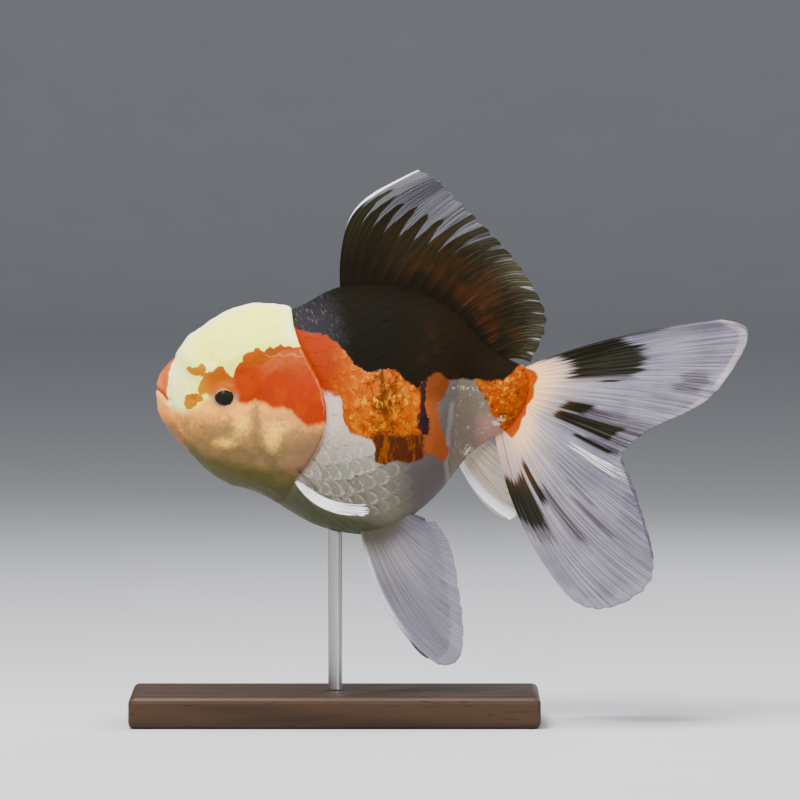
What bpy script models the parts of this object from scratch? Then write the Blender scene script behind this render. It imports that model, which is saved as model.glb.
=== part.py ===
"""Life-size model of a fancy goldfish, an oranda with a small hood, swimming on a plain stand.

Run it with: blender --background --python part.py

Metres, +Z up. The snout points to -X, the fish's left side to -Y, and the origin is the middle of
the underside of the stand. Places on the fish are written (along, up) or (along, up, out): along is
the way from the snout to the tail, up is the height over the body's axis, and out is the distance
from the middle plane. They are in units of UNIT, which is a millimetre on a fish of this length.
"""

import math

import bmesh
import bpy
import numpy as np
from mathutils.bvhtree import BVHTree

# Driving dimensions, in metres.
BODY_LENGTH = 0.0960  # snout to the root of the tail fin
UNIT = BODY_LENGTH / 96.0
SNOUT_X = -0.0452
AXIS_Z = 0.0836  # height of the body's axis over the floor
GAP = 0.0003  # between pieces that meet
FIN_THICKNESS = 0.0006

STAND_LENGTH, STAND_WIDTH, STAND_HEIGHT = 0.104, 0.064, 0.008
STAND_BEVEL = 0.0016
ROD_X, ROD_RADIUS = 0.0, 0.0018
ROD_SIDES = 24

# The rings that the body is lofted through, from the snout to the root of the tail fin:
# name, top (along, up), bottom (along, up), half width, how far down from top to bottom the widest
# level lies, and the fullness of the upper and lower half (2 is an ellipse, less is a sharper ridge).
RINGS = (
    ("mouth", (0.0, 0.5), (0.0, -1.3), 0.9, 0.50, 2.0, 2.0),
    ("lips", (0.3, 3.6), (0.2, -4.3), 4.0, 0.50, 2.0, 2.0),
    ("muzzle", (1.9, 6.5), (1.9, -7.8), 6.9, 0.50, 2.1, 2.0),
    ("snout", (5.3, 10.0), (5.2, -11.9), 10.8, 0.50, 2.2, 2.1),
    ("nostril", (9.7, 14.3), (9.7, -16.9), 14.2, 0.51, 2.3, 2.1),
    ("eye", (17.2, 19.3), (16.8, -22.2), 17.2, 0.53, 2.4, 2.1),
    ("cheek", (25.9, 21.9), (26.4, -25.8), 19.4, 0.56, 2.3, 2.1),
    ("gill", (34.2, 21.6), (35.0, -30.8), 21.2, 0.57, 2.1, 2.1),
    ("shoulder", (43.5, 26.1), (45.5, -35.0), 22.8, 0.59, 1.9, 2.1),
    ("dorsal front", (50.5, 27.8), (54.0, -35.8), 23.4, 0.60, 1.7, 2.1),
    ("belly", (61.0, 27.6), (63.5, -32.0), 22.6, 0.60, 1.7, 2.1),
    ("flank", (70.4, 24.2), (71.2, -25.6), 19.4, 0.58, 1.7, 2.1),
    ("vent", (79.1, 17.6), (75.7, -20.0), 11.6, 0.52, 1.8, 2.0),
    ("stalk", (86.2, 10.6), (80.8, -14.5), 7.0, 0.48, 2.0, 2.0),
    ("tail root", (92.5, 7.3), (87.6, -10.0), 4.9, 0.50, 2.0, 2.0),
    ("tail end", (95.6, 5.9), (91.8, -7.6), 2.4, 0.50, 2.0, 2.0),
)
RINGS_ALONG, POINTS_AROUND = 34, 26

# Edges of the pieces of the body, seen from the side, as (along, up).
GILL_EDGE = (
    (33.4, 27.0), (34.7, 17.6), (38.2, 9.4), (42.2, 1.5),
    (43.2, -6.4), (40.4, -14.1), (35.4, -21.0), (29.5, -33.0),
)
GILL_FRONT = ((30.6, 10.2), (26.3, 5.2), (24.4, -3.5), (26.2, -12.5), (30.4, -18.4), (35.0, -20.6))
HOOD_EDGE = ((4.0, 9.4), (9.7, 5.4), (14.8, 4.6), (20.0, 7.2), (27.5, 10.9), (36.6, 12.6))
STALK_EDGE = ((86.0, 17.0), (79.6, 4.0), (75.6, -7.0), (74.6, -16.0), (74.8, -26.0))
LIP_EDGE = ((4.4, 11.0), (3.0, 5.3), (2.8, 2.0), (3.2, -1.8), (4.4, -5.6), (6.6, -10.2), (9.0, -17.0))
MOUTH_CORNER, MOUTH_FRONT = (3.2, -1.7), (-3.0, 2.0)
FAR = 60.0  # past every edge of the body

HOOD_DEPTH, HOOD_PROUD = 2.2, 1.0  # the hood's depth in the head, and how far it stands over it
COVER_DEPTH, COVER_PROUD = 1.2, 0.8  # the same for a gill cover

EYE_PLACE = (17.4, -0.9)
EYE_RADIUS, EYE_SUNK = 3.6, 2.3

# A fin is a fan of rays. Each key ray is (root, middle, tip), from the leading edge to the trailing
# one, and the rays between them follow from a smooth curve through them. Roots lie in the body.
DORSAL_RAYS = (
    ((46.6, 25.4, 0), (50.4, 45.2, 0.2), (66.3, 56.8, 0.5)),
    ((50.2, 25.6, 0), (55.6, 43.2, -0.4), (71.6, 54.4, -1.3)),
    ((56.9, 25.4, 0), (64.1, 39.4, 0.6), (75.6, 50.4, 1.5)),
    ((64.4, 24.4, 0), (72.9, 36.7, -0.4), (83.0, 42.9, -1.2)),
    ((71.4, 21.6, 0), (80.8, 31.7, 0.4), (90.6, 34.6, 1.2)),
    ((77.0, 17.4, 0), (87.7, 24.5, -0.3), (96.8, 25.2, -0.9)),
    ((81.2, 12.6, 0), (91.0, 17.0, 0.2), (98.9, 17.2, 0.6)),
    ((87.0, 8.0, 0), (91.0, 8.9, 0), (94.9, 7.9, 0)),
)
TAIL_RAYS = (
    ((92.2, 5.9, 0.9), (115.7, 13.9, 5.6), (143.0, 18.4, 11.2)),
    ((92.6, 4.9, 1.1), (122.8, 11.6, 7.6), (149.7, 15.6, 13.0)),
    ((93.0, 3.4, 1.2), (122.3, 6.6, 9.4), (146.4, 7.2, 15.6)),
    ((93.2, 1.4, 1.3), (118.0, 1.0, 10.8), (138.3, -1.9, 18.2)),
    ((93.0, -0.9, 1.3), (110.8, -5.2, 10.0), (125.4, -8.3, 18.6)),
    ((92.6, -2.6, 1.3), (105.8, -9.3, 8.2), (118.0, -15.2, 15.4)),
    ((92.0, -3.9, 1.3), (105.3, -13.6, 9.2), (119.6, -21.8, 17.4)),
    ((91.0, -5.2, 1.3), (106.9, -20.9, 12.0), (124.2, -35.8, 22.0)),
    ((89.8, -6.4, 1.2), (104.9, -28.5, 13.2), (125.4, -46.0, 25.0)),
    ((88.6, -7.4, 1.1), (99.6, -32.3, 13.0), (118.2, -52.2, 25.6)),
    ((87.2, -8.2, 0.9), (94.8, -32.3, 12.0), (109.8, -53.6, 24.6)),
    ((85.6, -8.6, 0.8), (91.5, -30.4, 10.6), (103.6, -50.0, 22.6)),
)
PELVIC_RAYS = (
    ((51.2, -31.8, 6.2), (58.2, -53.9, 11.6), (71.6, -68.4, 14.6)),
    ((53.4, -31.4, 6.6), (63.2, -52.6, 11.0), (76.4, -67.4, 15.6)),
    ((55.6, -31.0, 7.0), (65.4, -48.6, 11.4), (78.0, -60.0, 15.0)),
    ((57.6, -30.6, 7.2), (66.6, -42.0, 10.2), (76.8, -49.4, 13.4)),
    ((59.6, -29.6, 7.2), (67.2, -35.6, 9.2), (74.6, -38.6, 11.6)),
    ((61.4, -28.6, 7.0), (66.6, -31.6, 8.6), (70.6, -32.2, 10.2)),
)
PECTORAL_RAYS = (
    ((36.9, -22.0, 15.6), (40.4, -28.6, 25.6), (49.2, -31.6, 34.2)),
    ((37.3, -21.8, 15.6), (41.9, -28.2, 25.2), (53.0, -31.4, 35.6)),
    ((37.9, -21.2, 15.8), (43.0, -27.3, 23.8), (54.6, -30.0, 33.2)),
    ((38.5, -20.4, 16.0), (43.2, -26.2, 21.6), (52.4, -28.2, 28.0)),
    ((39.0, -19.6, 16.2), (43.0, -25.0, 20.0), (48.4, -27.0, 23.8)),
)
ANAL_RAYS = (
    ((75.9, -16.2, 1.0), (81.4, -25.4, 2.3), (89.8, -32.2, 4.2)),
    ((77.8, -14.2, 1.0), (84.9, -22.9, 2.3), (93.6, -28.4, 4.2)),
    ((80.0, -12.0, 0.9), (87.0, -18.6, 1.9), (93.4, -22.6, 3.2)),
    ((82.4, -10.4, 0.8), (87.0, -14.4, 1.2), (90.6, -17.6, 1.8)),
)

RIGHT_BENDS = (1.0, -4.2, -1.6)  # how far back the right tail, pelvic and anal fins bend

SKIN = {
    "hood": (0.90, 0.87, 0.62),
    "cheek": (0.80, 0.55, 0.34),
    "lip": (0.86, 0.52, 0.38),
    "orange": (0.86, 0.28, 0.04),
    "silver": (0.62, 0.60, 0.56),
    "dorsal": (0.10, 0.08, 0.06),
    "fin": (0.72, 0.71, 0.78),
    "eye": (0.02, 0.02, 0.02),
    "wood": (0.11, 0.065, 0.04),
    "steel": (0.62, 0.62, 0.61),
}


def clear_scene():
    for obj in list(bpy.data.objects):
        bpy.data.objects.remove(obj, do_unlink=True)


def new_collection(name):
    collection = bpy.data.collections.new(name)
    bpy.context.scene.collection.children.link(collection)
    return collection


def material(name, roughness=0.4, metallic=0.0):
    """A Principled material of the named colour, made once."""
    if name in bpy.data.materials:
        return bpy.data.materials[name]
    made = bpy.data.materials.new(name)
    made.use_nodes = True
    shader = made.node_tree.nodes["Principled BSDF"]
    shader.inputs["Base Color"].default_value = (*SKIN[name], 1.0)
    shader.inputs["Roughness"].default_value = roughness
    shader.inputs["Metallic"].default_value = metallic
    made.diffuse_color = (*SKIN[name], 1.0)
    return made


def place(name, mesh, collection, finish=None):
    """An object for the mesh, in the collection, smooth but for its sharp edges."""
    obj = bpy.data.objects.new(name, mesh)
    collection.objects.link(obj)
    if finish is not None:
        mesh.materials.append(finish)
    mesh.shade_smooth()
    mesh.set_sharp_from_angle(angle=math.radians(40))
    return obj


def helper(obj):
    """Marks a cutter, which isn't part of the model."""
    obj.hide_render = True
    obj.display_type = "WIRE"
    return obj


def carve(obj, operation, other):
    """Joins, cuts or crosses obj with another mesh object."""
    modifier = obj.modifiers.new(f"{operation.lower()} {other.name}", "BOOLEAN")
    modifier.operation = operation
    modifier.solver = "EXACT"
    modifier.object = other


def spline(knots, values, at):
    """A natural cubic spline through values at knots, read at the places in at."""
    knots, values = np.asarray(knots, float), np.asarray(values, float)
    gap = np.diff(knots)
    slope = np.diff(values, axis=0) / gap[:, None]
    system, right = np.eye(len(knots)), np.zeros_like(values)
    for i in range(1, len(knots) - 1):
        system[i, i - 1 : i + 2] = gap[i - 1], 2 * (gap[i - 1] + gap[i]), gap[i]
        right[i] = 6 * (slope[i] - slope[i - 1])
    bend = np.linalg.solve(system, right)
    i = np.clip(np.searchsorted(knots, at) - 1, 0, len(gap) - 1)
    g, before, after = gap[i, None], (knots[i + 1] - at)[:, None], (at - knots[i])[:, None]
    return (
        (bend[i] * before**3 + bend[i + 1] * after**3) / (6 * g)
        + (values[i] / g - bend[i] * g / 6) * before
        + (values[i + 1] / g - bend[i + 1] * g / 6) * after
    )


def curve(points, count):
    """count points along a smooth curve through the given ones."""
    points = np.asarray(points, float)
    steps = np.linalg.norm(np.diff(points, axis=0), axis=1)
    knots = np.concatenate([[0], np.cumsum(steps)])
    return spline(knots, points, np.linspace(0, knots[-1], count))


def to_frame(places):
    """(along, up, out) on the fish as metres in the model's frame."""
    places = np.asarray(places, float) * UNIT
    return np.stack([SNOUT_X + places[..., 0], places[..., 2], AXIS_Z + places[..., 1]], axis=-1)


def body_rings(swell):
    """Points of the body's surface, one row for each ring, moved outwards by swell.

    A ring is made of two half superellipses, which share their widest level. It leans, so that its
    ends lie on the outline of the back and of the belly.
    """
    table = np.array([[*top, *bottom, *rest] for _, top, bottom, *rest in RINGS])
    steps = np.abs(np.diff(table[:, :5], axis=0)).sum(axis=1)
    knots = np.concatenate([[0], np.cumsum(steps)])
    share = np.linspace(0, 1, RINGS_ALONG)
    rings = spline(knots, table, knots[-1] * share)
    top, bottom = rings[:, 0:2], rings[:, 2:4]
    half_width, widest, crown, keel = (rings[:, i, None] for i in range(4, 8))
    swell = np.maximum(swell, -0.7 * half_width)
    down = (bottom - top) / np.linalg.norm(bottom - top, axis=1)[:, None]
    top, bottom = top - swell * down, bottom + swell * down
    middle = top + (bottom - top) * widest
    turn = np.linspace(0, 2 * math.pi, POINTS_AROUND, endpoint=False)[None, :]
    upper = np.cos(turn) >= 0
    power = 2 / np.where(upper, crown, keel)
    reach = np.abs(np.cos(turn)) ** power
    out = -np.sign(np.sin(turn)) * np.abs(np.sin(turn)) ** power * (half_width + swell)
    end = np.where(upper[..., None], top[:, None], bottom[:, None])
    side = middle[:, None] + (end - middle[:, None]) * reach[..., None]
    return to_frame(np.concatenate([side, out[..., None]], axis=-1))


def body_mesh(name, swell=0.0):
    """The whole body as one closed loft, its surface moved outwards by swell."""
    rings = body_rings(swell)
    bm = bmesh.new()
    rows = [[bm.verts.new(point) for point in ring] for ring in rings]
    for near, far in zip(rows, rows[1:]):
        for i in range(POINTS_AROUND):
            j = (i + 1) % POINTS_AROUND
            bm.faces.new((near[i], near[j], far[j], far[i]))
    bm.faces.new(reversed(rows[0]))
    bm.faces.new(rows[-1])
    bmesh.ops.recalc_face_normals(bm, faces=bm.faces)
    mesh = bpy.data.meshes.new(name)
    bm.to_mesh(mesh)
    bm.free()
    return mesh


def grown(outline, distance):
    """A closed outline, counter-clockwise, with its edge moved outwards."""
    outline = np.asarray(outline, float)
    ahead = np.roll(outline, -1, axis=0) - np.roll(outline, 1, axis=0)
    normal = np.stack([ahead[:, 1], -ahead[:, 0]], axis=1)
    return outline + distance * normal / np.linalg.norm(normal, axis=1)[:, None]


def prism(name, outline, collection, sides=(-1, 1)):
    """A cutter: the outline, seen from the side, carried across the body from side to side."""
    bm = bmesh.new()
    low, high = (side * FAR for side in sides)
    start = to_frame([(along, up, low) for along, up in outline])
    face = bm.faces.new([bm.verts.new(point) for point in start])
    carried = bmesh.ops.extrude_face_region(bm, geom=[face])["geom"]
    moved = [v for v in carried if isinstance(v, bmesh.types.BMVert)]
    bmesh.ops.translate(bm, verts=moved, vec=(0, (high - low) * UNIT, 0))
    bmesh.ops.recalc_face_normals(bm, faces=bm.faces)
    mesh = bpy.data.meshes.new(name)
    bm.to_mesh(mesh)
    bm.free()
    return helper(place(name, mesh, collection))


def hood_outline():
    """The hood, which caps the head from the snout to the nape."""
    lower, rear = curve(HOOD_EDGE, 14), curve(GILL_EDGE, 24)
    rear = rear[(rear[:, 1] > lower[-1, 1] + 0.6)][::-1]
    return np.vstack([lower[lower[:, 0] < rear[0, 0] - 0.4], rear, [(-8.0, 27.0), (1.0, 12.0)]])


def cover_outline():
    """A gill cover, from the cheek to the rear edge of the head."""
    rear = curve(GILL_EDGE, 40)
    rear = rear[(rear[:, 1] < 11.0) & (rear[:, 1] > -20.6)][::-1]
    return np.vstack([curve(GILL_FRONT, 12), rear[1:-1]])


def head_outline():
    """The head behind the lips and in front of the gill opening."""
    front = curve(LIP_EDGE, 14) + (GAP / UNIT / 2, 0)
    rear = curve(GILL_EDGE, 24) - (GAP / UNIT / 2, 0)
    return np.vstack([front, [(12.0, -FAR), (28.0, -FAR)], rear[::-1], [(33.0, FAR), (6.0, FAR)]])


def trunk_outline():
    front = curve(GILL_EDGE, 24) + (GAP / UNIT / 2, 0)
    rear = curve(STALK_EDGE, 14) - (GAP / UNIT / 2, 0)
    return np.vstack([front, [(29.0, -FAR), (75.0, -FAR)], rear[::-1], [(86.0, FAR), (33.0, FAR)]])


def stalk_outline():
    front = curve(STALK_EDGE, 14) + (GAP / UNIT / 2, 0)
    return np.vstack([front, [(75.0, -FAR), (120.0, -FAR), (120.0, FAR), (86.0, FAR)]])


def lip_outlines():
    """The upper lip and the lower jaw, either side of the mouth's slit."""
    edge = curve(LIP_EDGE, 15) - (GAP / UNIT / 2, 0)
    half = np.array([0, GAP / UNIT / 2])
    corner, front = np.array(MOUTH_CORNER), np.array(MOUTH_FRONT)
    above = edge[edge[:, 1] > corner[1] + 0.8]
    below = edge[edge[:, 1] < corner[1] - 0.4]
    upper = np.vstack([[(-4.0, FAR)], [front + half], [corner + half - (0.4, 0)], above[::-1]])
    lower = np.vstack([below[::-1], [corner - half - (0.2, 0)], [front - half], [(-4.0, -FAR)]])
    return upper, lower[::-1]


def side_of_body(body, along, up, side):
    """The point of the body's surface at this place in the side view."""
    tree = BVHTree.FromPolygons(
        [v.co for v in body.vertices], [tuple(p.vertices) for p in body.polygons]
    )
    start = to_frame((along, up, side * FAR))
    return tree.ray_cast(start.tolist(), (0, -side, 0))[0]


def ball(name, centre, radius, collection, finish=None):
    bm = bmesh.new()
    bmesh.ops.create_uvsphere(bm, u_segments=16, v_segments=9, radius=radius)
    mesh = bpy.data.meshes.new(name)
    bm.to_mesh(mesh)
    bm.free()
    obj = place(name, mesh, collection, finish)
    obj.location = centre
    obj.rotation_euler = (math.radians(90), 0, 0)
    return obj


def make_body(parts, cutters):
    """The head with its lips, hood, gill covers and eyes, the trunk and the tail stalk."""
    body = body_mesh("body")

    def piece(name, mesh, outline, finish, sides=(-1, 1)):
        obj = place(name, mesh, parts, finish)
        carve(obj, "INTERSECT", prism(f"{name}_region", outline, cutters, sides))
        return obj

    def core(name, depth):
        return helper(place(name, body_mesh(name, -depth), cutters))

    edge = GAP / UNIT / 2
    hood_core = core("hood_core", HOOD_DEPTH)
    hood_bed = core("hood_bed", HOOD_DEPTH + 2 * edge)
    cover_core = core("cover_core", COVER_DEPTH)
    cover_bed = core("cover_bed", COVER_DEPTH + 2 * edge)

    head = piece("head", body, head_outline(), material("cheek"))
    hood = piece(
        "hood", body_mesh("hood", HOOD_PROUD), grown(hood_outline(), -edge), material("hood")
    )
    carve(hood, "DIFFERENCE", hood_core)
    hood_recess = prism("hood_recess", grown(hood_outline(), edge), cutters)
    carve(hood_recess, "DIFFERENCE", hood_bed)
    carve(head, "DIFFERENCE", hood_recess)

    for word, side in (("left", -1), ("right", 1)):
        sides = (-1, 0) if side < 0 else (0, 1)
        cover = piece(
            f"gill_cover_{word}", body_mesh(f"gill_cover_{word}", COVER_PROUD),
            grown(cover_outline(), -edge), material("orange"), sides,
        )
        carve(cover, "DIFFERENCE", cover_core)
        recess = prism(f"cover_recess_{word}", grown(cover_outline(), edge), cutters, sides)
        carve(recess, "DIFFERENCE", cover_bed)
        carve(head, "DIFFERENCE", recess)
        on_skin = side_of_body(body, *EYE_PLACE, side)
        centre = (on_skin.x, on_skin.y - side * EYE_SUNK * UNIT, on_skin.z)
        ball(f"eye_{word}", centre, EYE_RADIUS * UNIT, parts, material("eye", 0.05))
        socket = ball(f"socket_{word}", centre, EYE_RADIUS * UNIT + GAP, cutters)
        carve(head, "DIFFERENCE", helper(socket))

    upper, lower = lip_outlines()
    piece("upper_lip", body.copy(), upper, material("lip"))
    piece("lower_jaw", body.copy(), lower, material("lip"))
    piece("trunk", body.copy(), trunk_outline(), material("silver"))
    piece("tail_stalk", body.copy(), stalk_outline(), material("silver"))


def fan(key_rays, first, last, columns, rows, scallop=0.0):
    """Points of a fin, one row for each ray, as (along, up, out).

    Each ray is a quadratic Bezier curve through its middle. A scalloped margin is drawn in by this
    share at every other column.
    """
    roots, middles, tips = (np.array(column, float) for column in zip(*key_rays))
    knots = np.linspace(0, 1, len(key_rays))
    across = np.linspace(first, last, columns)
    root, middle, tip = (spline(knots, values, across) for values in (roots, middles, tips))
    control = 2 * middle - (root + tip) / 2
    reach = 1 - scallop * (np.arange(columns) % 2)[:, None, None]
    t = np.linspace(0, 1, rows)[None, :, None] * reach
    return (1 - t) ** 2 * root[:, None] + 2 * t * (1 - t) * control[:, None] + t**2 * tip[:, None]


def fin(name, points, side, cutter, collection, finish):
    """A fin as a thin sheet through the fan's points, cut back to the body's skin."""
    columns, rows = points.shape[:2]
    vertices = to_frame(points * (1, 1, side)).reshape(-1, 3)
    corners = [
        (i * rows + j, (i + 1) * rows + j, (i + 1) * rows + j + 1, i * rows + j + 1)
        for i in range(columns - 1)
        for j in range(rows - 1)
    ]
    mesh = bpy.data.meshes.new(name)
    mesh.from_pydata(vertices.tolist(), [], corners)
    obj = place(name, mesh, collection, finish)
    solidify = obj.modifiers.new("thickness", "SOLIDIFY")
    solidify.thickness = FIN_THICKNESS
    solidify.offset = 0
    carve(obj, "DIFFERENCE", cutter)
    return obj


def swung(points, along):
    """The fin's points with its rays bent this far along the body at their tips."""
    bend = np.linspace(0, 1, points.shape[1])[None, :, None] ** 1.4
    return points + bend * np.array([along, 0.0, 0.0])


def make_fins(parts, cutters):
    skin = helper(place("skin_line", body_mesh("skin_line", GAP / UNIT), cutters))
    pale = material("fin")
    fin("dorsal_fin", fan(DORSAL_RAYS, 0, 1, 33, 6, 0.03), 1, skin, parts, material("dorsal"))
    upper, lower = fan(TAIL_RAYS, 0, 0.45, 12, 8), fan(TAIL_RAYS, 0.475, 1, 14, 8)
    pelvic, pectoral = fan(PELVIC_RAYS, 0, 1, 11, 7), fan(PECTORAL_RAYS, 0, 1, 9, 6)
    anal = fan(ANAL_RAYS, 0, 1, 7, 6)
    for word, side, bends in (("left", -1, (0, 0, 0)), ("right", 1, RIGHT_BENDS)):
        fin(f"tail_upper_{word}", swung(upper, bends[0]), side, skin, parts, pale)
        fin(f"tail_lower_{word}", swung(lower, bends[0]), side, skin, parts, pale)
        fin(f"pelvic_fin_{word}", swung(pelvic, bends[1]), side, skin, parts, pale)
        fin(f"anal_fin_{word}", swung(anal, bends[2]), side, skin, parts, pale)
        fin(f"pectoral_fin_{word}", pectoral, side, skin, parts, pale)
    return skin


def make_stand(parts, skin):
    """A flat base and one rod up to the belly."""
    bpy.ops.mesh.primitive_cube_add(size=1, location=(0, 0, STAND_HEIGHT / 2))
    base = bpy.context.object
    base.name = "stand_base"
    base.scale = (STAND_LENGTH, STAND_WIDTH, STAND_HEIGHT)
    bpy.ops.object.transform_apply(location=False, rotation=False, scale=True)
    bevel = base.modifiers.new("edges", "BEVEL")
    bevel.width = STAND_BEVEL
    bevel.segments = 3
    base.data.materials.append(material("wood", 0.35))

    belly = AXIS_Z - 30 * UNIT  # inside the belly, which trims the rod
    foot = STAND_HEIGHT + GAP
    bpy.ops.mesh.primitive_cylinder_add(
        vertices=ROD_SIDES, radius=ROD_RADIUS, depth=belly - foot,
        location=(ROD_X, 0, (belly + foot) / 2),
    )
    rod = bpy.context.object
    rod.name = "stand_rod"
    rod.data.materials.append(material("steel", 0.3, 1.0))
    carve(rod, "DIFFERENCE", skin)
    for obj in (base, rod):
        for collection in list(obj.users_collection):
            collection.objects.unlink(obj)
        parts.objects.link(obj)
        obj.data.shade_smooth()
        obj.data.set_sharp_from_angle(angle=math.radians(40))


def main():
    clear_scene()
    parts, cutters = new_collection("goldfish"), new_collection("cutters")
    make_body(parts, cutters)
    skin = make_fins(parts, cutters)
    make_stand(parts, skin)


main()
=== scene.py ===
"""Looks of the fancy goldfish on its display stand.

One skin covers the head, trunk and tail stalk, the scales are thin plates laid over it in rows, and
each fin is a sheet with raised rays. Places on the fish are written (along, up, out), in units of
the fish's own millimetre: along runs from the snout to the tail, up from the axis of the body, and
out from the middle plane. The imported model's boxes say where those places are.
"""

import math

import bpy
import numpy as np
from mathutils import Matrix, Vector


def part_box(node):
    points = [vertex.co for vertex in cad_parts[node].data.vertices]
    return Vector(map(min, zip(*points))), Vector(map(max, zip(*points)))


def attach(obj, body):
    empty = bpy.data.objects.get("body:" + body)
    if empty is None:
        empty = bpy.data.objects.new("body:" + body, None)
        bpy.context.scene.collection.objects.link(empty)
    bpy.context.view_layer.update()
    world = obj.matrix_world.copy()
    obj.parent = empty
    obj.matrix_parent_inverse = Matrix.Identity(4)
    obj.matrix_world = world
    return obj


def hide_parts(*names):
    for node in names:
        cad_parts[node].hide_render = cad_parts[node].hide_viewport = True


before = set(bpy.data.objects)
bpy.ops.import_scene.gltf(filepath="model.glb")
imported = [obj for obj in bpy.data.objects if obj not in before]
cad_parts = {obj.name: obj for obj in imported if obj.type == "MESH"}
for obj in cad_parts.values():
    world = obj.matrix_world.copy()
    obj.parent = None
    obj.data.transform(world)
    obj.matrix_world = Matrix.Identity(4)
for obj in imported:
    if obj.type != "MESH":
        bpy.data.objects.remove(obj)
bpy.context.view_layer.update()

# The body's rings: name, top (along, up), bottom (along, up), half width, how far down the widest
# level lies, and the fullness of the upper and the lower half.
RINGS = (
    ("mouth", (0, 0.5), (0, -1.3), 0.9, 0.5, 2, 2),
    ("lips", (0.3, 3.6), (0.2, -4.3), 4, 0.5, 2, 2),
    ("muzzle", (1.9, 6.5), (1.9, -7.8), 6.9, 0.5, 2.1, 2),
    ("snout", (5.3, 10), (5.2, -11.9), 10.8, 0.5, 2.2, 2.1),
    ("nostril", (9.7, 14.3), (9.7, -16.9), 14.2, 0.51, 2.3, 2.1),
    ("eye", (17.2, 19.3), (16.8, -22.2), 17.2, 0.53, 2.4, 2.1),
    ("cheek", (25.9, 21.9), (26.4, -25.8), 19.4, 0.56, 2.3, 2.1),
    ("gill", (34.2, 21.6), (35, -30.8), 21.2, 0.57, 2.1, 2.1),
    ("shoulder", (43.5, 26.1), (45.5, -35), 22.8, 0.59, 1.9, 2.1),
    ("dorsal front", (50.5, 27.8), (54, -35.8), 23.4, 0.6, 1.7, 2.1),
    ("belly", (61, 27.6), (63.5, -32), 22.6, 0.6, 1.7, 2.1),
    ("flank", (70.4, 24.2), (71.2, -25.6), 19.4, 0.58, 1.7, 2.1),
    ("vent", (79.1, 17.6), (75.7, -20), 11.6, 0.52, 1.8, 2),
    ("stalk", (86.2, 10.6), (80.8, -14.5), 7, 0.48, 2, 2),
    ("tail root", (92.5, 7.3), (87.6, -10), 4.9, 0.5, 2, 2),
    ("tail end", (95.6, 5.9), (91.8, -7.6), 2.4, 0.5, 2, 2),
)
LAST_ALONG = RINGS[-1][1][0]

# Lines on the side of the fish, as (along, up).
GILL_EDGE = (
    (33.4, 27), (34.7, 17.6), (38.2, 9.4), (42.2, 1.5),
    (43.2, -6.4), (40.4, -14.1), (35.4, -21), (29.5, -33),
)
GILL_FRONT = ((30.6, 10.2), (26.3, 5.2), (24.4, -3.5), (26.2, -12.5), (30.4, -18.4), (35, -20.6))
HOOD_EDGE = ((4, 9.4), (9.7, 5.4), (14.8, 4.6), (20, 7.2), (27.5, 10.9), (36.6, 12.6))
STALK_EDGE = ((86, 17), (79.6, 4), (75.6, -7), (74.6, -16), (74.8, -26))
LIP_GROOVE = ((4.6, 9), (3.2, 5.3), (2.8, 2), (3.2, -1.9))
JAW_CREASE = ((3.2, -1.9), (4.4, -5.4), (6.6, -10.2), (7.8, -14))
MOUTH_SLIT = ((-0.6, 1.6), (0.4, 1.05), (1.6, -0.1), (3.2, -1.9))
CHEEK_FOLD = ((25.8, 0.5), (24.8, -4.5), (25.2, -9.5), (26.4, -15))
NOSTRIL_FLAP = ((8, 0.5), (7.4, -1.2), (7.9, -3.2))
PECTORAL_FOLD = ((36.6, -18.8), (38.6, -21.6), (41.6, -24.6))
LATERAL_LINE = ((34, 12.6), (42, 5.6), (51.6, 0.8), (65.6, -1.3), (81.6, 1.3), (96, 0.2))
# The fleshy lobes of the cheek: along, up, size and rise.
CHEEK_LOBES = (
    (21.5, -6.6, 3.6, 0.65), (17.6, -12.8, 4.2, 0.6), (29.4, -11, 4.6, 0.65),
    (12, -8, 3.6, 0.3), (24.5, -17.5, 4, 0.35), (33.5, -6, 4, 0.3),
)
EYE_ALONG, EYE_UP = 17.4, -0.9
EYE_RAISE = 0.5  # the finished eye stands this much above the plain one

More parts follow.
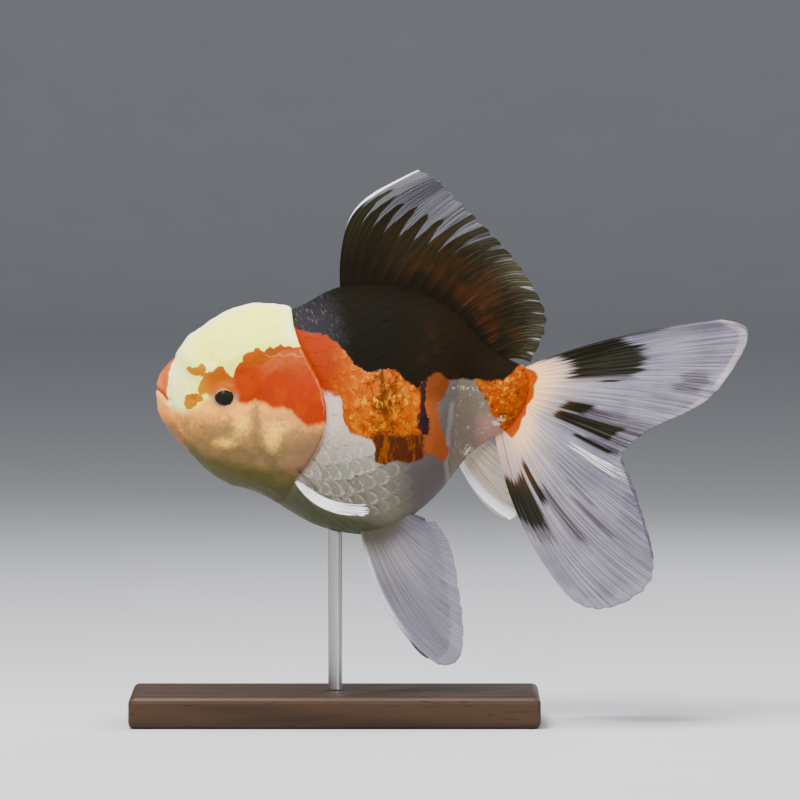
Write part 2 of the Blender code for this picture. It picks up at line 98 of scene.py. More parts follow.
# Each fin's key rays, from its leading to its trailing edge: (root, middle, tip).
DORSAL_RAYS = (
    ((46.6, 25.4, 0), (50.4, 45.2, 0.2), (66.3, 56.8, 0.5)),
    ((50.2, 25.6, 0), (55.6, 43.2, -0.4), (71.6, 54.4, -1.3)),
    ((56.9, 25.4, 0), (64.1, 39.4, 0.6), (75.6, 50.4, 1.5)),
    ((64.4, 24.4, 0), (72.9, 36.7, -0.4), (83, 42.9, -1.2)),
    ((71.4, 21.6, 0), (80.8, 31.7, 0.4), (90.6, 34.6, 1.2)),
    ((77, 17.4, 0), (87.7, 24.5, -0.3), (96.8, 25.2, -0.9)),
    ((81.2, 12.6, 0), (91, 17, 0.2), (98.9, 17.2, 0.6)),
    ((87, 8, 0), (91, 8.9, 0), (94.9, 7.9, 0)),
)
TAIL_RAYS = (
    ((92.2, 5.9, 0.9), (115.7, 13.9, 5.6), (143, 18.4, 11.2)),
    ((92.6, 4.9, 1.1), (122.8, 11.6, 7.6), (149.7, 15.6, 13)),
    ((93, 3.4, 1.2), (122.3, 6.6, 9.4), (146.4, 7.2, 15.6)),
    ((93.2, 1.4, 1.3), (118, 1, 10.8), (138.3, -1.9, 18.2)),
    ((93, -0.9, 1.3), (110.8, -5.2, 10), (125.4, -8.3, 18.6)),
    ((92.6, -2.6, 1.3), (105.8, -9.3, 8.2), (118, -15.2, 15.4)),
    ((92, -3.9, 1.3), (105.3, -13.6, 9.2), (119.6, -21.8, 17.4)),
    ((91, -5.2, 1.3), (106.9, -20.9, 12), (124.2, -35.8, 22)),
    ((89.8, -6.4, 1.2), (104.9, -28.5, 13.2), (125.4, -46, 25)),
    ((88.6, -7.4, 1.1), (99.6, -32.3, 13), (118.2, -52.2, 25.6)),
    ((87.2, -8.2, 0.9), (94.8, -32.3, 12), (109.8, -53.6, 24.6)),
    ((85.6, -8.6, 0.8), (91.5, -30.4, 10.6), (103.6, -50, 22.6)),
)
PELVIC_RAYS = (
    ((51.2, -31.8, 6.2), (58.2, -53.9, 11.6), (71.6, -68.4, 14.6)),
    ((53.4, -31.4, 6.6), (63.2, -52.6, 11), (76.4, -67.4, 15.6)),
    ((55.6, -31, 7), (65.4, -48.6, 11.4), (78, -60, 15)),
    ((57.6, -30.6, 7.2), (66.6, -42, 10.2), (76.8, -49.4, 13.4)),
    ((59.6, -29.6, 7.2), (67.2, -35.6, 9.2), (74.6, -38.6, 11.6)),
    ((61.4, -28.6, 7), (66.6, -31.6, 8.6), (70.6, -32.2, 10.2)),
)
PECTORAL_RAYS = (
    ((34.9, -21.6, 16.6), (42, -27.9, 25.6), (51.5, -29.4, 33.8)),
    ((35.1, -21.3, 16.6), (42.8, -27.6, 25), (53.4, -29.6, 35)),
    ((35.3, -21, 16.8), (43.2, -27, 23.8), (54.6, -28.9, 33)),
    ((35.5, -20.8, 17), (43.4, -26.5, 22), (54.4, -28, 28.6)),
    ((35.7, -20.5, 17.2), (43.4, -26.1, 20.8), (53.6, -27.2, 24.8)),
)
ANAL_RAYS = (
    ((75.9, -16.2, 1), (81.4, -25.4, 2.3), (89.8, -32.2, 4.2)),
    ((77.8, -14.2, 1), (84.9, -22.9, 2.3), (93.6, -28.4, 4.2)),
    ((80, -12, 0.9), (87, -18.6, 1.9), (93.4, -22.6, 3.2)),
    ((82.4, -10.4, 0.8), (87, -14.4, 1.2), (90.6, -17.6, 1.8)),
)
RIGHT_BENDS = (1, -3, -1.6)  # how far the right tail, pelvic and anal fins bend backwards

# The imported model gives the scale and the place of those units.
eye_low, eye_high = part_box("eye_left")
SNOUT_X = min(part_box("upper_lip")[0].x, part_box("lower_jaw")[0].x)
UNIT = (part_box("tail_stalk")[1].x - SNOUT_X) / LAST_ALONG
AXIS_Z = (eye_low.z + eye_high.z) / 2 - EYE_UP * UNIT


# ---------------------------------------------------------------- numbers


def to_frame(places):
    """(along, up, out) as metres in the model's frame: a shift and one scale."""
    places = np.asarray(places, float) * UNIT
    return np.stack([SNOUT_X + places[..., 0], places[..., 2], AXIS_Z + places[..., 1]], axis=-1)


def smooth(value, low, high):
    """0 below low, 1 above high, and the cubic 3t^2 - 2t^3 between them."""
    t = np.clip((value - low) / (high - low), 0, 1)
    return t * t * (3 - 2 * t)


def hump(distance, width):
    """A bell: e to the minus (distance / width) squared."""
    return np.exp(-((distance / width) ** 2))


def way_along(points):
    """How far each point lies from the first, along the straight pieces between them."""
    return np.concatenate([[0], np.cumsum(np.linalg.norm(np.diff(points, axis=0), axis=1))])


def spline(knots, values, at):
    """A natural cubic spline through values at knots, read at the places in at."""
    knots, values = np.asarray(knots, float), np.asarray(values, float)
    gap = np.diff(knots)
    slope = np.diff(values, axis=0) / gap[:, None]
    system, right = np.eye(len(knots)), np.zeros_like(values)
    for i in range(1, len(knots) - 1):
        system[i, i - 1 : i + 2] = gap[i - 1], 2 * (gap[i - 1] + gap[i]), gap[i]
        right[i] = 6 * (slope[i] - slope[i - 1])
    bend = np.linalg.solve(system, right)
    i = np.clip(np.searchsorted(knots, at) - 1, 0, len(gap) - 1)
    g, before, after = gap[i, None], (knots[i + 1] - at)[:, None], (at - knots[i])[:, None]
    return (
        (bend[i] * before**3 + bend[i + 1] * after**3) / (6 * g)
        + (values[i] / g - bend[i] * g / 6) * before
        + (values[i + 1] / g - bend[i + 1] * g / 6) * after
    )


def level(x, points):
    """The straight-line run through (x, y) points, read at x."""
    return np.interp(x, *np.array(points, float).T)


def off_line(along, up, line):
    """Distance to a smooth line on the side of the fish, positive on the left of the way it runs.

    It is the least distance to the short straight pieces of the line, and its sign is that of the
    cross product with the nearest piece.
    """
    way = way_along(line)
    path = spline(way, line, np.linspace(0, way[-1], 60))
    best, side = np.full(along.shape, 1e9), np.ones(along.shape)
    for (x, y), (dx, dy) in zip(path[:-1], np.diff(path, axis=0)):
        px, py = along - x, up - y
        share = np.clip((px * dx + py * dy) / (dx * dx + dy * dy), 0, 1)
        far = np.hypot(px - share * dx, py - share * dy)
        side = np.where(far < best, np.sign(dx * py - dy * px), side)
        best = np.minimum(far, best)
    return best * side


def lumps(places, size, seed):
    """Value noise from -1 to 1: random heights at the corners of cubes, blended by cubics."""
    grid = np.asarray(places, float) / size + seed * 7.31
    cell = np.floor(grid)
    part = smooth(grid - cell, 0, 1)
    total = 0
    for corner in np.ndindex(2, 2, 2):
        height = np.sin((cell + corner) @ np.array([127.1, 311.7, 74.7]) + seed) * 43758.5453
        weight = np.where(np.array(corner) == 1, part, 1 - part).prod(axis=-1)
        total = total + weight * (height - np.floor(height))
    return 2 * total - 1


# ---------------------------------------------------------------- body


ring_table = np.array([[*top, *bottom, *rest] for _, top, bottom, *rest in RINGS])
ring_knots = np.abs(np.diff(ring_table[:, :5], axis=0)).sum(axis=1).cumsum()
ring_knots = np.concatenate([[0], ring_knots / ring_knots[-1]])


def body_at(share, turn, swell=0):
    """The body's surface as (along, up, out), at a share of the way and a turn round the ring.

    A ring is two half superellipses that share their widest level, and it leans so that its ends
    lie on the outlines of the back and of the belly. Turn 0 is the back, and the left side comes
    first. Swell moves the surface outwards.
    """
    share, turn, swell = np.broadcast_arrays(share, turn, swell)
    rings = spline(ring_knots, ring_table, share.reshape(-1)).reshape(*share.shape, 8)
    top, bottom = rings[..., 0:2], rings[..., 2:4]
    half_width, widest, crown, keel = (rings[..., i] for i in range(4, 8))
    swell = np.maximum(swell, -0.7 * half_width)
    down = (bottom - top) / np.linalg.norm(bottom - top, axis=-1)[..., None]
    top, bottom = top - swell[..., None] * down, bottom + swell[..., None] * down
    middle = top + (bottom - top) * widest[..., None]
    upper = np.cos(turn) >= 0
    power = 2 / np.where(upper, crown, keel)
    reach = np.abs(np.cos(turn)) ** power
    out = -np.sign(np.sin(turn)) * np.abs(np.sin(turn)) ** power * (half_width + swell)
    end = np.where(upper[..., None], top, bottom)
    side = middle + (end - middle) * reach[..., None]
    return np.concatenate([side, out[..., None]], axis=-1)


def normals_of(grid, wraps):
    """Unit normals of a grid of places: the cross product of the central differences both ways."""
    if wraps:
        round_way = (np.roll(grid, -1, axis=1) - np.roll(grid, 1, axis=1)) / 2
    else:
        round_way = np.gradient(grid, axis=1)
    normal = np.cross(np.gradient(grid, axis=0), round_way)
    return normal / np.maximum(np.linalg.norm(normal, axis=-1, keepdims=True), 1e-12)


def relief(places):
    """How far the finished skin stands off the plain body, as a sum of humps, steps and grooves."""
    along, up = places[..., 0], places[..., 1]
    behind_gill = off_line(along, up, GILL_EDGE)
    # the head's rear edge is a quarter round, wide at the hood and narrow at the gill cover
    radius = 0.9 + 1.7 * smooth(up, 7, 14)
    inward = np.clip((0.2 - behind_gill) / radius, 0, 1)
    head = np.sqrt(1 - (1 - inward) ** 2)
    hood = smooth(up - level(along, HOOD_EDGE), -3, 2.5) * smooth(along, 2.5, 8)
    hood = hood * smooth(up, 2, 6)
    cover = smooth(off_line(along, up, GILL_FRONT), -1.2, 2.6) * smooth(12.5 - up, 0, 3)
    cover = cover * smooth(up + 22.5, 0, 3) * smooth(along, 23, 27)
    height = head * np.maximum(hood, 0.8 * cover) - (1 - head) * (0.1 + 0.18 * smooth(up, -26, -20))
    # the gill opening, a groove just behind the cover's edge
    height -= 0.22 * hump(behind_gill - 0.5, 0.5) * smooth(up + 24, 0, 4)
    # fleshy growth of the hood and the cheeks
    flesh = lumps(places, 5.2, 1) * 0.3 + lumps(places, 2.6, 2) * 0.2 + lumps(places, 1.4, 3) * 0.08
    height += head * flesh * (0.3 + 0.7 * np.maximum(hood, smooth(-up, 4, 9)))
    for x, y, size, rise in CHEEK_LOBES:
        height += rise * hump(np.hypot(along - x, up - y), size) * head
    # folds and creases: the line, how far it stands up, its width, and where it shows
    for line, rise, width, where in (
        (CHEEK_FOLD, -0.3, 1.2, head), (LIP_GROOVE, -0.42, 0.55, 1), (JAW_CREASE, -0.3, 0.7, 1),
        (NOSTRIL_FLAP, 0.38, 0.55, 1), (STALK_EDGE, -0.45, 1.1, smooth(-up, -4, 8)),
        (PECTORAL_FOLD, -0.7, 0.8, 1),
    ):
        height += rise * hump(off_line(along, up, line), width) * where
    # the mouth's slit between its rounded lips, and the nostril's pit
    slit = np.abs(off_line(along, up, MOUTH_SLIT))
    height += 0.2 * hump(slit - 1.1, 0.8) * smooth(-along, -3.6, -2.4) - 0.6 * hump(slit, 0.24)
    height -= 0.55 * hump(np.hypot(along - 9.3, up + 1), 0.6)
    # the eye's lid, a soft ring that the eyeball shows through
    away = np.hypot((along - EYE_ALONG) / 1.08, (up - EYE_UP - EYE_RAISE) / 0.92)
    height += (0.26 - height) * smooth(-away, -4.8, -3.2)
    height += 0.1 * hump(away - 2.5, 0.45) - 0.12 * hump(away - 3.9, 0.7)
    return height - 1.6 * smooth(-away, -2.2, -1.6)


# ---------------------------------------------------------------- meshes


def build_mesh(name, vertices, faces):
    """A mesh object at the origin, turned to face outwards by the sign of its volume."""
    vertices, faces = np.asarray(vertices, float), [np.asarray(part, int) for part in faces]
    volume = 0
    for part in faces:
        first, *others = (vertices[part[:, i]] for i in range(part.shape[1]))
        for one, other in zip(others, others[1:]):
            volume += np.einsum("ij,ij->", first, np.cross(one, other))
    if volume < 0:
        faces = [part[:, ::-1] for part in faces]
    mesh = bpy.data.meshes.new(name)
    sizes = np.concatenate([np.full(len(part), part.shape[1]) for part in faces])
    corners = np.concatenate([part.reshape(-1) for part in faces])
    mesh.vertices.add(len(vertices))
    mesh.vertices.foreach_set("co", vertices.reshape(-1))
    mesh.loops.add(len(corners))
    mesh.loops.foreach_set("vertex_index", corners)
    mesh.polygons.add(len(sizes))
    mesh.polygons.foreach_set("loop_start", np.concatenate([[0], np.cumsum(sizes)[:-1]]))
    mesh.polygons.foreach_set("loop_total", sizes)
    mesh.update(calc_edges=True)
    mesh.validate()
    mesh.shade_smooth()
    obj = bpy.data.objects.new(name, mesh)
    bpy.context.scene.collection.objects.link(obj)
    return obj


def uv_map(obj, name, uv):
    """A UV map from one (u, v) for each vertex."""
    layer = obj.data.uv_layers.new(name=name)
    index = np.empty(len(obj.data.loops), int)
    obj.data.loops.foreach_get("vertex_index", index)
    layer.data.foreach_set("uv", np.asarray(uv, float)[index].reshape(-1))


def point_value(obj, name, values):
    """An attribute from one number or one vector for each vertex."""
    values = np.asarray(values, float)
    kind, field = ("FLOAT", "value") if values.ndim == 1 else ("FLOAT_VECTOR", "vector")
    layer = obj.data.attributes.new(name, kind, "POINT")
    layer.data.foreach_set(field, values.reshape(-1))


def grid_faces(rows, columns, wraps):
    """Quads between the rows of a grid whose vertices are numbered row by row."""
    i = np.arange(rows - 1)[:, None] * columns
    j = np.arange(columns if wraps else columns - 1)[None, :]
    k = (j + 1) % columns
    corners = np.broadcast_arrays(i + j, i + k, i + columns + k, i + columns + j)
    return np.stack(corners, axis=-1).reshape(-1, 4)


def tube_faces(rows, around):
    """A wrapped grid of rows, closed by triangles to two poles that are numbered after it."""
    j = np.arange(around)
    k, end, pole = (j + 1) % around, (rows - 1) * around, np.full(around, rows * around)
    caps = np.stack([pole, k, j], axis=1), np.stack([pole + 1, end + j, end + k], axis=1)
    return [grid_faces(rows, around, True), *caps]


def sheet_faces(rows, columns):
    """Two grids, one over the other, joined by a wall of quads round their rim."""
    number, last = rows * columns, (rows - 1) * columns
    rim = np.concatenate([
        np.arange(columns), np.arange(1, rows) * columns + columns - 1,
        last + np.arange(columns - 2, -1, -1), np.arange(rows - 2, 0, -1) * columns,
    ])
    ahead = np.roll(rim, -1)
    wall = np.stack([ahead, rim, rim + number, ahead + number], axis=1)
    face = grid_faces(rows, columns, False)
    return np.concatenate([face, face[:, ::-1] + number, wall])


def side_uv(share, turned, right):
    """Places in the map for baking: the share of the way, and how far round, each side in its strip."""
    return np.stack([(share + 0.03) / 1.06, np.where(right, 0.505, 0.005) + 0.49 * turned], axis=1)


def make_skin():
    """The skin: the body's rings, closer together on the head, each point moved by the relief.

    Both ends close on a pole, by rings that shrink towards their centres.
    """
    around = 290
    share = np.concatenate([np.linspace(0, 0.47, 205, endpoint=False), np.linspace(0.47, 1, 125)])
    turn = np.linspace(0, 2 * math.pi, around, endpoint=False)
    rings = body_at(share[:, None], turn[None, :])
    shrink = np.array([0.12, 0.3, 0.5, 0.7, 0.88])[:, None, None]
    nose, tail = rings[0].mean(axis=0), rings[-1].mean(axis=0)
    nose_dome, tail_dome = np.array([-0.12, 0, 0]), np.array([0.5, -0.1, 0])
    front = nose + (rings[0] - nose) * shrink + nose_dome * (1 - shrink**2)
    back = tail + ((rings[-1] - tail) * shrink + tail_dome * (1 - shrink**2))[::-1]
    grid = np.concatenate([front, rings, back])
    places = grid + normals_of(grid, True) * relief(grid)[..., None]
    vertices = np.vstack([places.reshape(-1, 3), nose + nose_dome, tail + tail_dome])
    rows = len(grid)
    skin = build_mesh("skin", to_frame(vertices), tube_faces(rows, around))
    shares = np.concatenate([np.linspace(-0.02, 0, 5), share, np.linspace(1, 1.02, 5)])
    turns = np.tile(turn, rows)
    uv = side_uv(np.repeat(shares, around), np.abs(turns - math.pi) / math.pi, turns >= math.pi)
    uv_map(skin, "OFBake", np.vstack([uv, [[0.005, 0.25], [0.995, 0.25]]]))
    return skin


WIDE, LONG = 7, 4  # the grid of one scale, across and back
scale_grid = np.meshgrid(np.linspace(-1, 1, WIDE), np.linspace(0, 1, LONG), indexing="ij")
ACROSS, BACK = (part.reshape(1, -1) for part in scale_grid)


def scale_rows(side, seed):
    """One side's scales: the places of their grids, and each one's root, UV place and tone.

    The side is unrolled by two lengths: u along the lateral line, and v round the ring from it.
    Scales stand in columns a step apart, every second column moved by half the spacing in it. A
    scale is a small grid whose free end is an arc, and its height over the body rises from its
    root, under the scale before it, to its free end.
    """
    rng = np.random.default_rng(seed)
    rings = 220
    share, turn = np.linspace(0.4, 1, rings), np.linspace(0, math.pi, 240)
    dense = body_at(share[:, None], turn[None, :])
    down = np.stack([way_along(ring) for ring in dense])
    gap = np.abs(dense[..., 1] - level(dense[..., 0], LATERAL_LINE))
    gap[:, :20] = 99  # the line never runs along the back
    row, line = np.arange(rings), gap.argmin(axis=1)
    start = down[row, line]
    along_line = way_along(dense[row, line])
    v_grid = np.linspace(-46, 52, 400)
    turn_of = np.stack([np.interp(v_grid + start[i], down[i], turn) for i in row])

    def read(u, v):
        """(share, turn) at (u, v), by straight lines between the rings and the v steps."""
        i = np.interp(u, along_line, row)
        j = np.clip((v - v_grid[0]) / (v_grid[1] - v_grid[0]), 0, len(v_grid) - 1.001)
        i0, j0 = np.clip(i.astype(int), 0, rings - 2), j.astype(int)
        fi, fj = i - i0, j - j0
        here = turn_of[i0, j0] * (1 - fi) + turn_of[i0 + 1, j0] * fi
        below = turn_of[i0, j0 + 1] * (1 - fi) + turn_of[i0 + 1, j0 + 1] * fi
        return np.interp(i, row, share), here * (1 - fj) + below * fj

    # columns: the step is shorter on the stalk and just behind the gill
    spots, u = [], 0.6
    while u < along_line[-1] + 0.4:
        place, shift = u / along_line[-1], 0.5 * (len(spots) % 2)
        step = np.interp(place, [0, 0.15, 0.45, 0.75, 1], [2.7, 3.1, 3.6, 2.9, 2.1])
        tall = np.interp(place, [0, 0.2, 0.5, 0.75, 1], [3.9, 4.4, 4.8, 3.8, 2.7])
        low, high = (np.interp(u, along_line, end - start) for end in (0, down[:, -1]))
        first, last = math.ceil(low / tall + 0.2 - shift), math.floor(high / tall - 0.1 - shift)
        v = (np.arange(first, last + 1) + shift) * tall
        spots.append(np.stack(np.broadcast_arrays(u, v, step, tall), axis=1))
        u += step
    spots = np.concatenate(spots)
    spots[:, 0] += rng.normal(0, 0.1, len(spots))
    spots[:, 1] += rng.normal(0, 0.12, len(spots))
    root_share, root_turn = read(spots[:, 0], spots[:, 1])
    root = body_at(root_share, root_turn)
    # only where there is flank: behind the gill cover's edge
    kept = off_line(root[:, 0], root[:, 1], GILL_EDGE) > 0.4
    kept &= (root[:, 1] > -27) | (root[:, 0] > 38)
    spots, root_share, root_turn, root = (part[kept] for part in (spots, root_share, root_turn, root))

    size = rng.normal(1, 0.04, (len(spots), 1))
    length, width = 2.25 * spots[:, 2:3] * size, 0.62 * spots[:, 3:4] * size
    arc = 0.62 + 0.38 * np.sqrt(np.clip(1 - ACROSS**2, 0, 1))
    narrow = 1 - 0.25 * (1 - BACK) ** 2 - 0.1 * BACK**3
    lean = rng.normal(0, 0.05, (len(spots), 1))
    u = spots[:, 0:1] + (arc * BACK - 0.6) * length
    v = spots[:, 1:2] + ACROSS * width * narrow + lean * (BACK - 0.5) * length
    proud = 0.26 + 0.5 * smooth(-root[:, 1:2], 9, 17) * smooth(-root[:, 0:1], -66, -54)
    lift = -0.18 * proud * (1 - BACK**0.9) - 0.2 * (1 - BACK) ** 3 - 0.006 * ACROSS**2
    lift = lift + rng.normal(0, 0.004, (len(spots), 1))
    plate_share, plate_turn = read(u, v)
    top, under, inner = (
        body_at(np.clip(plate_share, 0, 1), plate_turn, swell)
        for swell in (lift, lift - 0.03 - 0.03 * proud, -1)
    )
    # keep the front rows behind the gill cover: what runs under it sinks into the skin
    sink = smooth(-off_line(top[..., 0], top[..., 1], GILL_EDGE), -0.7, 0.3)[..., None]
    places = np.concatenate([plate + (inner - plate) * sink for plate in (top, under)], axis=1)
    places[..., 2] *= -side
    root[:, 2] *= -side
    uv = side_uv(root_share, 1 - root_turn / math.pi, side > 0)
    return places, root, uv, rng.random(len(spots))


def make_scales():
    """Both sides' scales in one mesh: for each, a top and an underside joined round the rim."""
    sides = [scale_rows(side, seed) for side, seed in ((-1, 5), (1, 17))]
    places, roots, uv_root, tones = (np.concatenate(parts) for parts in zip(*sides))
    count, each = places.shape[:2]
    one = sheet_faces(WIDE, LONG)
    faces = (one[None] + (np.arange(count) * each)[:, None, None]).reshape(-1, 4)
    # the mirrored side is turned round
    mirrored = np.repeat(roots[:, 2] > 0, len(one))
    faces[mirrored] = faces[mirrored][:, ::-1]
    scales = build_mesh("scales", to_frame(places.reshape(-1, 3)), [faces])
    scales.data.set_sharp_from_angle(angle=math.radians(30))
    own = np.tile(np.stack([ACROSS[0] * 0.5, BACK[0]], axis=1), (2 * count, 1))
    uv_map(scales, "OFBake", np.repeat(uv_root, each, axis=0) + 0.003 * (own - (0, 0.5)))
    uv_map(scales, "plate", own + (0.5, 0))
    point_value(scales, "root_place", np.repeat(to_frame(roots), each, axis=0))
    point_value(scales, "tone", np.repeat(tones, each))
    return scales


def fan(key_rays, columns, rows, reach):
    """Centre places of a fin: for each ray the quadratic Bezier curve through its middle."""
    knots, across = np.linspace(0, 1, len(key_rays)), np.linspace(0, 1, columns)
    root, middle, tip = (spline(knots, column, across)[:, None] for column in zip(*key_rays))
    control = 2 * middle - (root + tip) / 2
    t = np.linspace(0, 1, rows)[None, :, None] * reach[:, None, None]
    return (1 - t) ** 2 * root + 2 * t * (1 - t) * control + t**2 * tip


def comb(x, power=3):
    """A row of ridges, one at each whole number: a power of (1 + cos 2 pi x) / 2."""
    return (0.5 + 0.5 * np.cos(2 * np.pi * x)) ** power


MEMBRANE = 0.13  # half the thickness of a fin's skin at its root
STRIPS = 12  # columns of a fin's grid for each ray


def make_fin(name, key_rays, side, count, rows, ridge=0.13, scallop=0.012, wave=0.25, bend=0,
             late=0, corner=0, fray=0.006):
    """A fin as a closed sheet: its fan of places moved both ways along the normal.

    The half thickness is that of the membrane plus ridges over the rays. Each ray forks once near
    a third and again near two thirds of its length, so rows of two and of four ridges a ray take
    over there. The margin is drawn in between the rays. The sheet ripples by a sine across the
    rays, and bends backwards by a smooth step along them, from the share that late says.
    """
    columns = count * STRIPS + 1
    phase = np.linspace(0, count, columns)
    ragged = lumps(np.stack([phase * 1.7, phase * 0, phase * 0 + 3], axis=1), 0.5, 1)
    deeper = scallop * (0.35 + 0.65 * smooth(phase / count, 0.1, 0.6))
    reach = 1 - deeper * (1 - comb(phase, 0.6)) - fray * (ragged + 1)
    centre = fan(key_rays, columns, rows, reach)
    ray, t = phase[:, None], np.linspace(0, 1, rows)[None, :]
    centre[..., 2] += wave * np.sin(2 * np.pi * (ray / 3.7) + 2.5 * t) * t**1.5
    centre[..., 0] += bend * smooth(t, late, 1) ** 1.4
    leading = smooth(-ray / count, -0.14, 0)
    centre[..., 0] -= corner * leading * (hump(t - 0.55, 0.22) - hump(t - 0.86, 0.14))
    forks = smooth(t, 0.22, 0.45), smooth(t, 0.55, 0.8)
    p = ray + 0.1 * np.sin(9 * t + 2.1 * np.floor(ray)) * t
    height = comb(p) * (1 - forks[0]) + comb(2 * p + 0.5) * 0.8 * forks[0] * (1 - forks[1])
    height = (height + comb(4 * p + 0.5) * 0.6 * forks[1]) * smooth(t, 0.02, 0.2)
    half = MEMBRANE * (1 - 0.45 * t) + ridge * height * (1 - 0.55 * t)
    half = half * (1 + 1.5 * smooth(-t, -0.16, 0))
    half = half + 0.14 * hump(np.minimum(ray, count - ray), 0.22) * (1 - 0.6 * t)
    shift = normals_of(centre, False) * half[..., None]
    places = np.stack([centre + shift, centre - shift]).reshape(-1, 3)
    places[:, 2] *= side
    obj = build_mesh(name, to_frame(places), [sheet_faces(columns, rows)])
    uv = np.stack(np.broadcast_arrays(ray / count, t), axis=-1).reshape(-1, 2)
    uv_map(obj, "fan", np.concatenate([uv, uv]))
    point_value(obj, "ray", np.tile(height.reshape(-1), 2))
    return obj


def make_eye(name, node):
    """An eyeball turned from a profile: a sphere with a slightly fuller cornea over the pupil.

    A point is centre + radius(polar angle) * direction. The radius grows by a bell at the pole.
    """
    low, high = (np.array(corner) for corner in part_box(node))
    centre, radius = (low + high) / 2, (high - low).max() / 2
    centre[2] += EYE_RAISE * UNIT
    side = math.copysign(1, centre[1])
    rows, around = 58, 96
    polar = np.linspace(0, math.pi, rows + 2)[1:-1, None]
    turn = np.linspace(0, 2 * math.pi, around, endpoint=False)[None, :]
    size = radius * (1 + 0.03 * hump(polar, 0.55))
    x, z = size * np.sin(polar) * np.cos(turn), size * np.sin(polar) * np.sin(turn)
    grid = np.stack(np.broadcast_arrays(x, side * size * np.cos(polar), z), axis=-1)
    poles = np.array([[0, side * radius * 1.03, 0], [0, -side * radius, 0]])
    places = centre + np.concatenate([grid.reshape(-1, 3), poles])
    return build_mesh(name, places, tube_faces(rows, around)), centre


# ---------------------------------------------------------------- materials


def math_step(operation, swapped=False):
    """An operator or a method of Line: it adds the Math node of this operation."""

    def step(self, *others):
        values = (*others, self) if swapped else (self, *others)
        return self.board.add("ShaderNodeMath", {"operation": operation}, dict(enumerate(values)))

    return step


class Line:
    """A shader socket in a sum: each operator or method adds the node that works it out."""

    __add__, __radd__ = math_step("ADD"), math_step("ADD", swapped=True)
    __sub__, __rsub__ = math_step("SUBTRACT"), math_step("SUBTRACT", swapped=True)
    __mul__, __rmul__ = math_step("MULTIPLY"), math_step("MULTIPLY", swapped=True)
    __truediv__, __pow__ = math_step("DIVIDE"), math_step("POWER")
    least, most, zigzag = math_step("MINIMUM"), math_step("MAXIMUM"), math_step("PINGPONG")
    size, root, wave = math_step("ABSOLUTE"), math_step("SQRT"), math_step("SINE")

    def __init__(self, board, socket):
        self.board, self.socket = board, socket

    def fade(self, low, high):
        """0 at low and 1 at high, with a smooth step between them."""
        return self.board.add(
            "ShaderNodeMapRange", {"interpolation_type": "SMOOTHSTEP"},
            {"Value": self, "From Min": low, "From Max": high},
        )

    def band(self, low, full, end, gone):
        """Fades in from low to full, and out again from end to gone."""
        return self.fade(low, full) * self.fade(gone, end)

    def blend(self, first, second):
        """The first colour where this is 0, the second where it is 1."""
        first, second = (part if isinstance(part, Line) else (*part, 1) for part in (first, second))
        return self.board.add("ShaderNodeMix", {"data_type": "RGBA"}, {0: self, 6: first, 7: second}, 2)

    def noise(self, scale, detail=2, rough=0.5, **settings):
        values = {"Vector": self, "Scale": scale, "Detail": detail, "Roughness": rough}
        return self.board.add("ShaderNodeTexNoise", settings, values)

    def graph(self, *points):
        """The run through (x, y) points, read at this value."""
        (low, _), (high, _) = points[0], points[-1]
        floor = min(y for _, y in points)
        span = max(y for _, y in points) - floor
        dots = [((x - low) / (high - low), (y - floor) / span) for x, y in points]
        share = (self - low) * (1 / (high - low))
        return self.board.add("ShaderNodeFloatCurve", {"dots": dots}, {"Value": share}) * span + floor

    def parts(self):
        """The three coordinates of a place."""
        return [self.board.add("ShaderNodeSeparateXYZ", {}, {0: self}, i) for i in range(3)]

    def beside(self, other):
        """The place whose first two coordinates are these."""
        return self.board.add("ShaderNodeCombineXYZ", {}, {0: self, 1: other})

    def bump(self, distance, strength):
        values = {"Height": self, "Distance": distance, "Strength": strength}
        return self.board.add("ShaderNodeBump", {}, values)


class Board:
    """The nodes of one material, and the place in the frame that it reads."""

    def __init__(self, name):
        self.material = bpy.data.materials.new(name)
        self.material.use_nodes = True
        self.tree = self.material.node_tree
        self.place = self.add("ShaderNodeTexCoord", {}, {}, "Object")

    def add(self, kind, settings, values, output=0):
        """A node of this type, with its settings made first, and one of its outputs."""
        node = self.tree.nodes.new(kind)
        for key, value in settings.items():
            if key == "dots":
                draw_run(node.mapping, value)
            else:
                setattr(node, key, value)
        self.fill(node, values)
        return Line(self, node.outputs[output])

    def fill(self, node, values):
        """A Line is linked to its input, anything else is a plain value there."""
        for key, value in values.items():
            if isinstance(value, Line):
                self.tree.links.new(value.socket, node.inputs[key])
            else:
                node.inputs[key].default_value = value

    def finish(self, **values):
        """Fills the shader's inputs."""
        words = {key.replace("_", " "): value for key, value in values.items()}
        self.fill(self.tree.nodes["Principled BSDF"], words)
        return self.material


def draw_run(mapping, dots):
    """Makes a curve node's curve the straight-line run through these dots."""
    mapping.extend = "HORIZONTAL"
    points = mapping.curves[0].points
    for _ in range(len(dots) - 2):
        points.new(0.5, 0.5)
    for point, dot in zip(points, dots):
        point.location = dot
        point.handle_type = "VECTOR"
    mapping.update()


